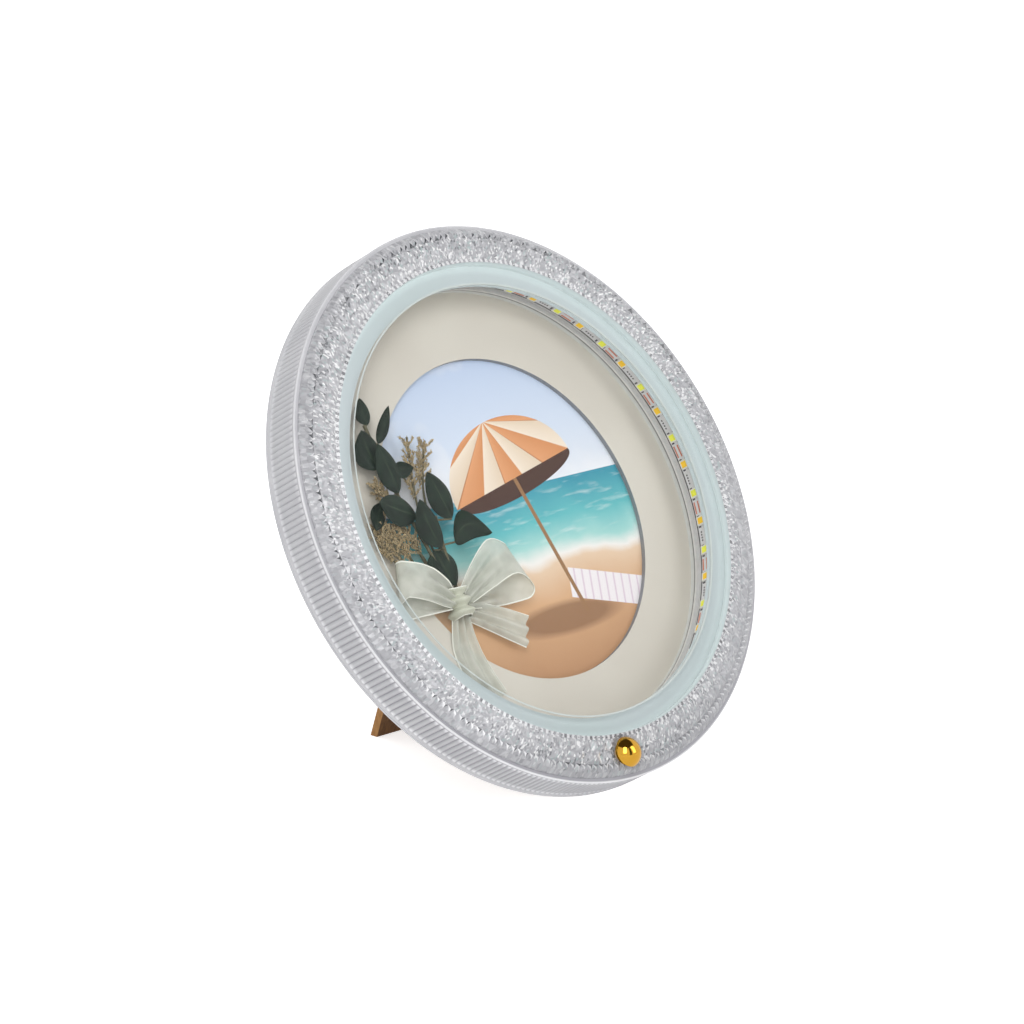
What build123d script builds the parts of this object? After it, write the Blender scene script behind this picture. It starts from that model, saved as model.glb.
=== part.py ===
from build123d import *
import math
import os

# Round shadow-box photo frame with a lit crystal ring, in millimetres.
# Pieces are drawn in the disc's own frame: X to the right, Y up the face, Z out of the front,
# with Z = 0 at the window ring's front face. Depths are measured back from there.
# The finished set is then leaned back and stood on the floor.

# Stance
LEAN = 29.8
OPEN_ANGLE = 50.0

# Fits
SEAT_GAP = 0.1
RUNNING_GAP = 0.05
REST_GAP = 0.3

# Widths across the face, from the window outwards
WINDOW_R = 60.0
RING_WIDE = 5.6
BEZEL_WIDE = 12.1

# Casing
HOUSING_WALL = 1.5
HOUSING_FRONT = 1.9
CASE_DEPTH = 14.2
REED_COUNT = 300
REED_DEPTH = 0.4
REED_LAND = 0.55
REED_SINK = 0.05
FRONT_BAND = 0.7
REAR_BAND = 1.8

# Crystal bezel
FACET_COUNT = 80
LIP_FLAT = 1.4
LIP_TOP = 0.2
LIP_DEPTH = 0.8
ROW_Z = (0.5, 0.4, -0.5)
APEX_Z = (1.5, 1.2)
CROWN_FLAT = 1.1
CROWN_STEP = 1.2
CROWN_EDGE_Z = -1.25
SPIGOT_WALL = 1.4
SPIGOT_LENGTH = 1.5
PANE_RIB = 1.2
BOSS_COUNT = 5
BOSS_R = 2.2

# Window stack
WINDOW_RIM = 1.6
WINDOW_THICK = 1.9
FILM_THICK = 0.2
PANE_THICK = 0.8
FILM_INSET = 0.2

# Lamp tray
WALL_BEHIND = 3.3
TRAY_WALL = 1.3
TRAY_FLOOR = 1.2
UPSTAND = 3.0
UPSTAND_WALL = 1.1
MAT_DEPTH = 10.6
LEDGE_THICK = 1.0
LEDGE_WIDE = 2.9
REBATE_WALL = 1.2

# LED tape
TAPE_WIDTH = 4.6
TAPE_THICK = 0.25
LAMP_PAIRS = 24
LAMP_START = 7.45
CHIP_ALONG = 2.6
CHIP_ACROSS = 3.0
CHIP_HIGH = 0.7
PAIR_SPLIT = 0.485
RESISTOR_ALONG = 1.6
RESISTOR_ACROSS = 0.8
RESISTOR_HIGH = 0.45
RESISTOR_EDGE = 0.4

# Spacer, mat, print and back board
SPACER_WALL = 1.2
SPACER_HIGH = 2.2
MAT_THICK = 1.4
MAT_WIDE = 15.2
MAT_DROP = 1.8
PRINT_THICK = 0.2

# Button
BUTTON_ANGLE = -94.0
DOME_R = 4.1
DOME_HIGH = 3.0
DOME_BASE_Z = 1.9
STEM_R = 1.2
BUTTON_TRAVEL = 0.8
WELL_R = 4.6
WELL_Z = 0.4
BUSH_WALL = 0.7
BUSH_FLANGE_R = 3.2
BUSH_FLANGE_THICK = 0.4

# Electronics
BOARD_DEPTH = 5.4
BOARD_THICK = 1.0
BOARD_SPAN = 56.0
BOARD_MIDDLE = -90.0
BOARD_EDGE_GAP = 0.4
POST_R = 1.5
POST_SPAN = 48.0
SWITCH_SIDE = 4.6
SWITCH_HIGH = 2.2
SWITCH_CORNER_R = 0.5
PLUNGER_R = 1.0
PLUNGER_REACH = 1.2
IC_SIDE = 4.0
IC_HIGH = 1.2
IC_ANGLES = (-105.0, -86.0)
INLET_ANGLE = -74.0
INLET_WIDE = 9.0
INLET_HIGH = 3.3
INLET_WALL = 0.3
INLET_TONGUE = 0.7
CELL_ANGLE = 198.0
CELL_LONG = 28.0
CELL_THICK = 4.0
CELL_TALL = 9.0
CELL_CORNER_R = 0.8
CELL_STANDOFF = 0.6
LEAD_R = 0.45
LEAD_ANGLES = (-84.0, -82.0, -80.0)
CELL_LEAD_ANGLES = (220.0, 234.0)
CELL_LEAD_STANDOFF = 1.0
CELL_LEAD_BEND = 9.0

# Tray screws and turn buttons
SCREW_R = 0.9
SCREW_HEAD_R = 1.9
SCREW_LONG = 7.0
TURN_ANGLES = (45.0, 135.0, 225.0, 315.0)
TURN_INSET = 4.4
TURN_REACH = 7.6
TURN_WIDE = 5.0
TURN_THICK = 0.8
PIVOT_R = 1.0
PIVOT_HEAD_R = 2.0
PIVOT_HEAD_THICK = 0.9
PIVOT_BOSS_R = 2.0
PIVOT_BOSS_HIGH = 2.4

# Easel leg and hinge
HINGE_Y = 17.5
HINGE_LONG = 18.0
KNUCKLE_R = 1.7
LEAF_THICK = 0.8
PLATE_TALL = 13.0
LEAF_TALL = 14.0
PIN_R = 0.8
CENTRE_KNUCKLE = 8.0
LEG_THICK = 2.4
LEG_TOP_WIDE = 24.0
LEG_FOOT_WIDE = 20.0
LEG_TOP_GAP = 2.2
LEG_CORNER_R = 3.0
RIVET_R = 1.0
RIVET_HEAD_R = 2.0
RIVET_HEAD_HIGH = 0.7
RIVET_SPACING = 11.0

# Dried spray and ribbon bow, on the mat
STEM_THICK_R = 0.5
STEM_RISE = 2.9
STEM_BEND = 20.0
LEAF_BLADE = 0.4
LEAF_WIDEST = 0.45
GRASS_STALK_R = 0.35
GRASS_RISE = 1.35
GRASS_R = 1.0
GRASS_NECK_R = 0.8
GRASS_BULGE = (0.3, 0.7)
RIBBON = 0.35
KNOT_INSET = 20.7
KNOT_ANGLE = 211.79
KNOT_WIDE, KNOT_TALL, KNOT_HIGH = 6.5, 7.0, 5.4
KNOT_ROUND = 1.6
LOOP_HIGH = 4.0
LOOP_MOUTH = 1.6
LOOP_MOUTH_WIDE = 5.0
LOOP_RISE = 3.4
LEFT_LOOP_TURN, LEFT_LOOP_LONG, LEFT_LOOP_WIDE = 155.0, 15.0, 15.0
RIGHT_LOOP_TURN, RIGHT_LOOP_LONG, RIGHT_LOOP_WIDE = 9.0, 21.5, 13.5

# Values that follow
LEAN_TURN = 90.0 - LEAN
LIP_R = WINDOW_R + RING_WIDE
HOUSING_R = LIP_R + BEZEL_WIDE
CROWN_R = HOUSING_R - CROWN_STEP
ROW_OUTER_R = CROWN_R - CROWN_FLAT
ROW_INNER_R = LIP_R + LIP_FLAT
ROW_MIDDLE_R = (ROW_INNER_R + ROW_OUTER_R) / 2
WALL_R = WINDOW_R + WALL_BEHIND
REBATE_R = WALL_R + LEDGE_WIDE
BORE_R = HOUSING_R - HOUSING_WALL
TRAY_R = BORE_R - SEAT_GAP
RIM_R = LIP_R + WINDOW_RIM
FILM_BACK = WINDOW_THICK + FILM_THICK
PANE_BACK = FILM_BACK + PANE_THICK
FLOOR_FRONT = CASE_DEPTH - TRAY_FLOOR
TAPE_R = WALL_R - TAPE_THICK
TAPE_FRONT = PANE_BACK + SEAT_GAP
TAPE_MIDDLE = TAPE_FRONT + TAPE_WIDTH / 2
MAT_BACK = MAT_DEPTH + MAT_THICK
PRINT_BACK = MAT_BACK + PRINT_THICK
BOARD_R = REBATE_R - 2 * SEAT_GAP
CHANNEL_INNER_R = REBATE_R + REBATE_WALL
CHANNEL_OUTER_R = TRAY_R - UPSTAND_WALL
CHANNEL_MIDDLE_R = (CHANNEL_INNER_R + CHANNEL_OUTER_R) / 2
CIRCUIT_BACK = BOARD_DEPTH + BOARD_THICK
BUSH_R = STEM_R + RUNNING_GAP + BUSH_WALL
PLUNGER_TOP = BOARD_DEPTH - SWITCH_HIGH - PLUNGER_REACH
TURN_CIRCLE_R = REBATE_R + TURN_INSET
TURN_FRONT = CASE_DEPTH + RUNNING_GAP
TURN_BACK = TURN_FRONT + TURN_THICK
HINGE_DEPTH = CASE_DEPTH + KNUCKLE_R + RUNNING_GAP
MAT_OPENING_R = WINDOW_R - MAT_WIDE
KNOT_X = (WINDOW_R - KNOT_INSET) * math.cos(math.radians(KNOT_ANGLE))
KNOT_Y = (WINDOW_R - KNOT_INSET) * math.sin(math.radians(KNOT_ANGLE))
STEM_Z = STEM_RISE - MAT_DEPTH
GRASS_Z = GRASS_RISE - MAT_DEPTH
LOOP_Z = LOOP_RISE - MAT_DEPTH
FLOOR_DROP = HOUSING_R * math.cos(math.radians(LEAN)) + CASE_DEPTH * math.sin(math.radians(LEAN))


def polar(radius, angle, z=0.0):
    """A point on the disc, by radius and angle from the right-hand side."""
    turn = math.radians(angle)
    return Vector(radius * math.cos(turn), radius * math.sin(turn), z)


def ring(inner, outer, front, back):
    """A flat ring between two depths behind the front face."""
    sketch = Circle(outer) - Circle(inner)
    return Pos(0, 0, -back) * extrude(sketch, back - front)


def disc(radius, front, back):
    return Pos(0, 0, -back) * extrude(Circle(radius), back - front)


def rod(point, radius, z_low, z_high):
    """A round rod along the disc's axis, at a place on the disc."""
    return Pos(point.X, point.Y, z_low) * extrude(Circle(radius), z_high - z_low)


def spun(*points):
    """A ring turned about the disc's axis from (radius, depth) corners."""
    corners = [(radius, 0, -depth) for radius, depth in points]
    return revolve(make_face(Polyline(*corners, close=True)), Axis.Z)


def bent_rod(points, radius, bend):
    """A round rod along straight runs joined by tangent arcs."""
    path = FilletPolyline(*points, radius=bend)
    return sweep(Plane(path @ 0, z_dir=path % 0) * Circle(radius), path)


def group(solids):
    return Compound(children=list(solids))


# Casing

def reed_outline():
    """The housing's outer outline: flat-topped ridges, each with a narrow valley after it."""
    crest_r = HOUSING_R - REED_SINK
    reed = ((-REED_LAND / 2, crest_r), (REED_LAND / 2, crest_r), (0.5, crest_r - REED_DEPTH))
    points = []
    for i in range(REED_COUNT):
        points += [polar(radius, 360.0 * (i + place) / REED_COUNT) for place, radius in reed]
    return make_face(Polyline(*points, close=True))


def reeded_housing():
    reed_front = HOUSING_FRONT + FRONT_BAND
    reed_back = CASE_DEPTH - REAR_BAND
    reeds = Pos(0, 0, -reed_back) * extrude(reed_outline() - Circle(BORE_R), reed_back - reed_front)
    front_band = ring(BORE_R, HOUSING_R, HOUSING_FRONT, reed_front)
    rear_band = ring(BORE_R, HOUSING_R, reed_back, CASE_DEPTH)
    return front_band + reeds + rear_band


def facet_point(radius, half_step, z):
    return polar(radius, 180.0 * half_step / FACET_COUNT, z)


def band_faces(low, high):
    """Flat strips between two rings of points, given as (radius, z)."""
    faces = []
    for k in range(2 * FACET_COUNT):
        corners = [facet_point(low[0], k, low[1]), facet_point(low[0], k + 1, low[1])]
        corners += [facet_point(high[0], k + 1, high[1]), facet_point(high[0], k, high[1])]
        faces.append(Face(Wire.make_polygon(corners)))
    return faces


def pyramid_faces(low, high, apex_z, first):
    """A row of six-sided pyramids between two rings of points."""
    faces = []
    apex_r = (low[0] + high[0]) / 2
    for k in range(first, first + 2 * FACET_COUNT, 2):
        apex = facet_point(apex_r, k + 1, apex_z)
        rim = [facet_point(low[0], k + i, low[1]) for i in range(3)]
        rim += [facet_point(high[0], k + i, high[1]) for i in (2, 1, 0)]
        for a, b in zip(rim, rim[1:] + rim[:1]):
            faces.append(Face(Wire.make_polygon([a, b, apex])))
    return faces


def bezel_blank():
    """The cut crown: two rows of pyramids, half a step apart, on a ring with a stepped back."""
    rows = list(zip((ROW_INNER_R, ROW_MIDDLE_R, ROW_OUTER_R), ROW_Z))
    spigot_back = -HOUSING_FRONT - SPIGOT_LENGTH
    seat_r = RIM_R + SEAT_GAP
    section = [
        (CROWN_R, CROWN_EDGE_Z),
        (CROWN_R, -HOUSING_FRONT),
        (TRAY_R, -HOUSING_FRONT),
        (TRAY_R, spigot_back),
        (TRAY_R - SPIGOT_WALL, spigot_back),
        (TRAY_R - SPIGOT_WALL, -HOUSING_FRONT),
        (seat_r + PANE_RIB, -HOUSING_FRONT),
        (seat_r + PANE_RIB, -PANE_BACK),
        (seat_r, -PANE_BACK),
        (seat_r, -LIP_DEPTH),
        (LIP_R, -LIP_DEPTH),
        (LIP_R, LIP_TOP),
        rows[0],
    ]
    faces = pyramid_faces(rows[0], rows[1], APEX_Z[0], 0)
    faces += pyramid_faces(rows[1], rows[2], APEX_Z[1], 1)
    faces += band_faces(rows[2], section[0])
    for low, high in zip(section, section[1:]):
        faces += band_faces(low, high)
    return Solid(Shell(faces))


def boss_points():
    return [polar(CHANNEL_MIDDLE_R, 90.0 + 360.0 * i / BOSS_COUNT) for i in range(BOSS_COUNT)]


def crystal_bezel():
    bezel = bezel_blank()
    for point in boss_points():
        boss = rod(point, BOSS_R, -FLOOR_FRONT, -HOUSING_FRONT)
        boss -= rod(point, SCREW_R + RUNNING_GAP, -FLOOR_FRONT, -CASE_DEPTH + SCREW_LONG + REST_GAP)
        bezel += boss
    place = polar(ROW_MIDDLE_R, BUTTON_ANGLE)
    bezel -= rod(place, WELL_R, WELL_Z, max(APEX_Z) + 1)
    bezel -= rod(place, BUSH_R + SEAT_GAP, -HOUSING_FRONT, WELL_Z)
    return bezel


# Window and shadow box

def window_ring():
    shoulder = LIP_DEPTH + SEAT_GAP
    return spun(
        (WINDOW_R, 0),
        (LIP_R - SEAT_GAP, 0),
        (LIP_R - SEAT_GAP, shoulder),
        (RIM_R, shoulder),
        (RIM_R, WINDOW_THICK),
        (WINDOW_R, WINDOW_THICK),
    )


def lamp_tray():
    tray = spun(
        (WALL_R, PANE_BACK),
        (WALL_R + TRAY_WALL, PANE_BACK),
        (WALL_R + TRAY_WALL, MAT_DEPTH - LEDGE_THICK),
        (CHANNEL_INNER_R, MAT_DEPTH - LEDGE_THICK),
        (CHANNEL_INNER_R, FLOOR_FRONT),
        (CHANNEL_OUTER_R, FLOOR_FRONT),
        (CHANNEL_OUTER_R, FLOOR_FRONT - UPSTAND),
        (TRAY_R, FLOOR_FRONT - UPSTAND),
        (TRAY_R, CASE_DEPTH),
        (REBATE_R, CASE_DEPTH),
        (REBATE_R, MAT_DEPTH),
        (WALL_R, MAT_DEPTH),
    )
    for side in (-1, 1):
        place = polar(CHANNEL_MIDDLE_R, BOARD_MIDDLE + side * POST_SPAN / 2)
        tray += rod(place, POST_R, -FLOOR_FRONT, -CIRCUIT_BACK)
    for angle in TURN_ANGLES:
        place = polar(TURN_CIRCLE_R, angle)
        tray += rod(place, PIVOT_BOSS_R, -FLOOR_FRONT, PIVOT_BOSS_HIGH - FLOOR_FRONT)
        tray -= rod(place, PIVOT_R, -CASE_DEPTH, PIVOT_BOSS_HIGH - FLOOR_FRONT - REST_GAP)
    for point in boss_points():
        tray -= rod(point, SCREW_R + SEAT_GAP, -CASE_DEPTH, -FLOOR_FRONT)
        tray -= Pos(0, 0, SEAT_GAP) * screw_head(point)
        tray -= rod(point, SCREW_HEAD_R, -CASE_DEPTH, SEAT_GAP - CASE_DEPTH)
    tray -= inlet_block(SEAT_GAP)
    for angle in LEAD_ANGLES:
        tray -= lead_pin(angle, LEAD_R + SEAT_GAP, WALL_R, WALL_R + TRAY_WALL)
    return tray


def screw_head(point):
    """A countersunk head, flush with the rear of the tray."""
    head = Cone(SCREW_HEAD_R, SCREW_R, SCREW_HEAD_R - SCREW_R)
    return Pos(point.X, point.Y, -CASE_DEPTH + (SCREW_HEAD_R - SCREW_R) / 2) * head


def tray_screws():
    screws = []
    for point in boss_points():
        screws.append(screw_head(point) + rod(point, SCREW_R, -CASE_DEPTH, -CASE_DEPTH + SCREW_LONG))
    return group(screws)


def spacer_ring():
    outer = WALL_R - SEAT_GAP
    return ring(outer - SPACER_WALL, outer, MAT_DEPTH - SPACER_HIGH, MAT_DEPTH)


def mat_board():
    opening = Pos(0, -MAT_DROP, 0) * disc(MAT_OPENING_R, MAT_DEPTH, MAT_BACK)
    return disc(BOARD_R, MAT_DEPTH, MAT_BACK) - opening


def back_board():
    board = disc(BOARD_R, PRINT_BACK, CASE_DEPTH)
    for place in plate_rivet_places():
        board -= rod(place, RIVET_R + RUNNING_GAP, -CASE_DEPTH, -PRINT_BACK)
    return board


# LED tape

def chip(angle, along, across, high):
    """A block standing on the tape, facing the disc's axis."""
    base_r = math.sqrt(TAPE_R ** 2 - (along / 2) ** 2)
    block = Box(high, along, across)
    return Rot(0, 0, angle) * Pos(base_r - high / 2, 0, -TAPE_MIDDLE) * block


def lamp_angle(index):
    """Lamps stand in pairs, a little closer to each other than to the next pair."""
    pair, second = divmod(index, 2)
    return LAMP_START + 360.0 * (pair - PAIR_SPLIT * second) / LAMP_PAIRS


def lamp_chips(second):
    angles = [lamp_angle(2 * pair + second) for pair in range(LAMP_PAIRS)]
    return group(chip(angle, CHIP_ALONG, CHIP_ACROSS, CHIP_HIGH) for angle in angles)


def tape_resistors():
    blocks = []
    shift = TAPE_WIDTH / 2 - RESISTOR_EDGE - RESISTOR_ACROSS / 2
    for pair in range(LAMP_PAIRS):
        angle = LAMP_START + 360.0 * (pair - (1 + PAIR_SPLIT) / 2) / LAMP_PAIRS
        block = chip(angle, RESISTOR_ALONG, RESISTOR_ACROSS, RESISTOR_HIGH)
        blocks.append(Pos(0, 0, shift) * block)
    return group(blocks)


def lead_pin(angle, radius, inner, outer):
    """A wire that runs straight out through the tray's wall."""
    wire = Pos(inner, 0, 0) * Rot(0, 90, 0) * extrude(Circle(radius), outer - inner)
    return Rot(0, 0, angle) * Pos(0, 0, -(BOARD_DEPTH + BOARD_THICK / 2)) * wire


def tape_leads():
    end_r = CHANNEL_INNER_R + BOARD_EDGE_GAP
    return group(lead_pin(angle, LEAD_R, WALL_R, end_r) for angle in LEAD_ANGLES)


# Button and electronics

def at_button(z=0.0):
    place = polar(ROW_MIDDLE_R, BUTTON_ANGLE)
    return Pos(place.X, place.Y, z) * Rot(0, 0, BUTTON_ANGLE)


def button_bush():
    barrel = extrude(Circle(BUSH_R), HOUSING_FRONT + WELL_Z)
    flange = Pos(0, 0, HOUSING_FRONT + WELL_Z) * extrude(Circle(BUSH_FLANGE_R), BUSH_FLANGE_THICK)
    bore = extrude(Circle(STEM_R + RUNNING_GAP), HOUSING_FRONT + WELL_Z + BUSH_FLANGE_THICK)
    return at_button(-HOUSING_FRONT) * (barrel + flange - bore)


def button_dome():
    """A low domed cap: a ball cut off by its flat base."""
    ball_r = (DOME_R ** 2 + DOME_HIGH ** 2) / (2 * DOME_HIGH)
    cap = Pos(0, 0, DOME_HIGH - ball_r) * Sphere(ball_r)
    return at_button(DOME_BASE_Z) * (cap & Pos(0, 0, DOME_HIGH) * Box(3 * ball_r, 3 * ball_r, 2 * DOME_HIGH))


def button_stem():
    return at_button(-PLUNGER_TOP) * extrude(Circle(STEM_R), DOME_BASE_Z + PLUNGER_TOP)


def switch_plunger():
    reach = PLUNGER_REACH + BUTTON_TRAVEL
    return at_button(-PLUNGER_TOP - reach) * extrude(Circle(PLUNGER_R), reach)


def switch_body():
    body = extrude(RectangleRounded(SWITCH_SIDE, SWITCH_SIDE, SWITCH_CORNER_R), SWITCH_HIGH)
    well = extrude(Circle(PLUNGER_R + RUNNING_GAP), SWITCH_HIGH)
    return at_button(-BOARD_DEPTH) * (body - Pos(0, 0, SWITCH_HIGH - 2 * BUTTON_TRAVEL - REST_GAP) * well)


def control_board():
    """A curved circuit board that follows the channel."""
    inner = CHANNEL_INNER_R + BOARD_EDGE_GAP
    outer = CHANNEL_OUTER_R - BOARD_EDGE_GAP
    start = BOARD_MIDDLE - BOARD_SPAN / 2
    middle = Pos((inner + outer) / 2, -(BOARD_DEPTH + BOARD_THICK / 2))
    edge = Plane.XZ * middle * Rectangle(outer - inner, BOARD_THICK)
    return Rot(0, 0, start) * revolve(edge, Axis.Z, revolution_arc=BOARD_SPAN)


def board_chips():
    blocks = []
    for angle in IC_ANGLES:
        place = Rot(0, 0, angle) * Pos(CHANNEL_MIDDLE_R, 0, -CIRCUIT_BACK - IC_HIGH / 2)
        blocks.append(place * Box(IC_SIDE, IC_SIDE, IC_HIGH))
    return group(blocks)


def inlet_slot(grow):
    return SlotOverall(INLET_WIDE + 2 * grow, INLET_HIGH + 2 * grow, rotation=90)


def inlet_block(grow):
    place = Rot(0, 0, INLET_ANGLE) * Pos(CHANNEL_MIDDLE_R, 0, -CASE_DEPTH)
    return place * extrude(inlet_slot(grow), CASE_DEPTH - CIRCUIT_BACK - grow)


def charge_inlet():
    """A small oval charge socket that faces the rear, with its tongue inside."""
    long = CASE_DEPTH - CIRCUIT_BACK
    shell = extrude(inlet_slot(0), long) - extrude(inlet_slot(-INLET_WALL), long - INLET_WALL)
    tongue_wide = INLET_WIDE - INLET_HIGH
    tongue = Pos(0, 0, INLET_WALL) * extrude(Rectangle(INLET_TONGUE, tongue_wide), long - INLET_WALL)
    return Rot(0, 0, INLET_ANGLE) * Pos(CHANNEL_MIDDLE_R, 0, -CASE_DEPTH) * (shell + tongue)


def battery_cell():
    """A flat cell on edge, with rounded long corners."""
    middle = CHANNEL_INNER_R + CELL_STANDOFF + CELL_THICK / 2
    outline = RectangleRounded(CELL_THICK, CELL_LONG, CELL_CORNER_R)
    return Rot(0, 0, CELL_ANGLE) * Pos(middle, 0, -FLOOR_FRONT) * extrude(outline, CELL_TALL)


def battery_lead():
    """The cell's twin lead, inside of the screw boss, to the end of the circuit board."""
    depth = -(BOARD_DEPTH + BOARD_THICK / 2)
    start_r = CHANNEL_INNER_R + CELL_STANDOFF + CELL_THICK / 2
    lead_r = CHANNEL_INNER_R + CELL_LEAD_STANDOFF
    start = Rot(0, 0, CELL_ANGLE) * Pos(start_r, CELL_LONG / 2 + SEAT_GAP, depth)
    board_end = 360.0 + BOARD_MIDDLE - BOARD_SPAN / 2
    points = [start.position]
    points += [polar(lead_r, angle, depth) for angle in CELL_LEAD_ANGLES]
    points.append(polar(lead_r + LEAD_R, board_end, depth))
    return bent_rod(points, LEAD_R, CELL_LEAD_BEND)


# Turn buttons

def turn_button(angle):
    """A flat tab that turns on its screw and holds the back board."""
    reach = TURN_REACH / 2
    outline = Pos(-reach, 0) * SlotCenterToCenter(TURN_REACH, TURN_WIDE) - Circle(PIVOT_R + RUNNING_GAP)
    return Rot(0, 0, angle) * Pos(TURN_CIRCLE_R, 0, -TURN_BACK) * extrude(outline, TURN_THICK)


def turn_button_screws():
    screws = []
    shank_top = PIVOT_BOSS_HIGH - FLOOR_FRONT - REST_GAP
    head_front = -TURN_BACK - RUNNING_GAP
    for angle in TURN_ANGLES:
        place = polar(TURN_CIRCLE_R, angle)
        head = rod(place, PIVOT_HEAD_R, head_front - PIVOT_HEAD_THICK, head_front)
        screws.append(head + rod(place, PIVOT_R, head_front, shank_top))
    return group(screws)


# Hinge and leg

def hinge_frame(angle):
    """The hinge's own frame: X along the pin, Y up the leaf, Z away from the back board."""
    return Pos(0, HINGE_Y, -HINGE_DEPTH) * Rot(angle, 0, 0) * Rot(0, 180, 0)


def knuckle(start, long):
    return Pos(start, 0, 0) * Rot(0, 90, 0) * extrude(Circle(KNUCKLE_R), long)


def pin_bore(grow):
    return Pos(-HINGE_LONG, 0, 0) * Rot(0, 90, 0) * extrude(Circle(PIN_R + grow), 2 * HINGE_LONG)


def rivet_xs():
    return (-RIVET_SPACING / 2, RIVET_SPACING / 2)


def plate_rivet_places():
    return [Vector(x, HINGE_Y + KNUCKLE_R + PLATE_TALL / 2, 0) for x in rivet_xs()]


def hinge_plate():
    """The fixed leaf: a plate on the board, rolled into two outer knuckles."""
    side = (HINGE_LONG - CENTRE_KNUCKLE) / 2
    top = KNUCKLE_R + PLATE_TALL
    plate = Pos(0, top / 2, -KNUCKLE_R + LEAF_THICK / 2) * Box(HINGE_LONG, top, LEAF_THICK)
    gap = Box(CENTRE_KNUCKLE + 2 * SEAT_GAP, 2 * (KNUCKLE_R + REST_GAP), 3 * KNUCKLE_R)
    leaf = plate - gap
    for start in (-HINGE_LONG / 2, CENTRE_KNUCKLE / 2 + SEAT_GAP):
        leaf += knuckle(start, side - SEAT_GAP)
    leaf -= pin_bore(0)
    hole = extrude(Circle(RIVET_R + RUNNING_GAP), LEAF_THICK)
    for place in plate_rivet_places():
        leaf -= Pos(place.X, place.Y - HINGE_Y, -KNUCKLE_R) * hole
    return hinge_frame(0) * leaf


def hinge_pin():
    return hinge_frame(0) * Pos(-HINGE_LONG / 2, 0, 0) * Rot(0, 90, 0) * extrude(Circle(PIN_R), HINGE_LONG)


def plate_rivets():
    rivets = []
    plate_back = -HINGE_DEPTH + KNUCKLE_R - LEAF_THICK
    for place in plate_rivet_places():
        shank = rod(place, RIVET_R, plate_back, -PRINT_BACK)
        rivets.append(shank + rod(place, RIVET_HEAD_R, plate_back - RIVET_HEAD_HIGH, plate_back))
    return group(rivets)


def leg_rivet_y():
    return -KNUCKLE_R - LEAF_TALL / 2


def leg_hinge_leaf():
    """The leg's leaf: one centre knuckle, flat against the leg's front."""
    plate_low = KNUCKLE_R + LEAF_TALL
    plate = Pos(0, -plate_low / 2, -KNUCKLE_R + LEAF_THICK / 2) * Box(HINGE_LONG, plate_low, LEAF_THICK)
    notch = Box(HINGE_LONG, 2 * (KNUCKLE_R + REST_GAP), 3 * KNUCKLE_R)
    for side in (-1, 1):
        plate -= Pos(side * (CENTRE_KNUCKLE + HINGE_LONG) / 2, 0, 0) * notch
    leaf = plate + knuckle(-CENTRE_KNUCKLE / 2, CENTRE_KNUCKLE) - pin_bore(RUNNING_GAP)
    for x in rivet_xs():
        leaf -= Pos(x, leg_rivet_y(), -KNUCKLE_R) * extrude(Circle(RIVET_R + RUNNING_GAP), LEAF_THICK)
    return hinge_frame(OPEN_ANGLE) * leaf


def leg_rivets():
    rivets = []
    front = -KNUCKLE_R
    back = front + LEAF_THICK + LEG_THICK
    for x in rivet_xs():
        shank = Pos(x, leg_rivet_y(), front) * extrude(Circle(RIVET_R), back - front)
        head = Pos(x, leg_rivet_y(), back) * extrude(Circle(RIVET_HEAD_R), RIVET_HEAD_HIGH)
        rivets.append(hinge_frame(OPEN_ANGLE) * (shank + head))
    return group(rivets)


def floor_block():
    """Everything below the floor that the frame stands on, in the disc's frame."""
    big = 4 * HOUSING_R
    return Rot(-LEAN_TURN, 0, 0) * Pos(0, 0, -FLOOR_DROP - big / 2) * Box(big, big, big)


def stand_leg():
    """A tapering board leg, cut off flat at the floor."""
    reach = 2 * HOUSING_R
    top_y = -KNUCKLE_R - LEG_TOP_GAP
    foot_y = -FLOOR_DROP
    slope = (LEG_TOP_WIDE - LEG_FOOT_WIDE) / (top_y - foot_y) / 2
    low_half = LEG_TOP_WIDE / 2 - slope * reach
    corners = [(-LEG_TOP_WIDE / 2, top_y), (LEG_TOP_WIDE / 2, top_y)]
    corners += [(low_half, top_y - reach), (-low_half, top_y - reach)]
    outline = make_face(Polyline(*corners, close=True))
    outline = fillet(outline.vertices().group_by(Axis.Y)[-1], LEG_CORNER_R)
    leg = Pos(0, 0, -KNUCKLE_R + LEAF_THICK) * extrude(outline, LEG_THICK)
    hole = extrude(Circle(RIVET_R + RUNNING_GAP), LEAF_THICK + LEG_THICK)
    for x in rivet_xs():
        leg -= Pos(x, leg_rivet_y(), -KNUCKLE_R) * hole
    return hinge_frame(OPEN_ANGLE) * leg - floor_block()


# Dried spray, placed from the bow's knot

def by_knot(x, y, z):
    return Vector(KNOT_X + x, KNOT_Y + y, z)


def leaf_blade(base, tip, wide):
    """A pointed oval blade from its stalk to its tip."""
    span = tip - base
    long = span.length
    edge = ThreePointArc((0, 0), (LEAF_WIDEST * long, wide / 2), (long, 0))
    other = ThreePointArc((long, 0), (LEAF_WIDEST * long, -wide / 2), (0, 0))
    blade = extrude(make_face([edge, other]), LEAF_BLADE / 2, both=True)
    across = Vector(0, 0, 1).cross(span)
    return Plane(origin=base, x_dir=span, z_dir=span.cross(across)) * blade


def sprig(stem_points, leaves):
    """A stem with its leaves. Each leaf is (base x, base y, tip x, tip y, width, rise)."""
    stem = bent_rod([by_knot(x, y, STEM_Z) for x, y in stem_points], STEM_THICK_R, STEM_BEND)
    for base_x, base_y, tip_x, tip_y, wide, rise in leaves:
        stem += leaf_blade(by_knot(base_x, base_y, STEM_Z), by_knot(tip_x, tip_y, STEM_Z + rise), wide)
    return stem


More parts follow.
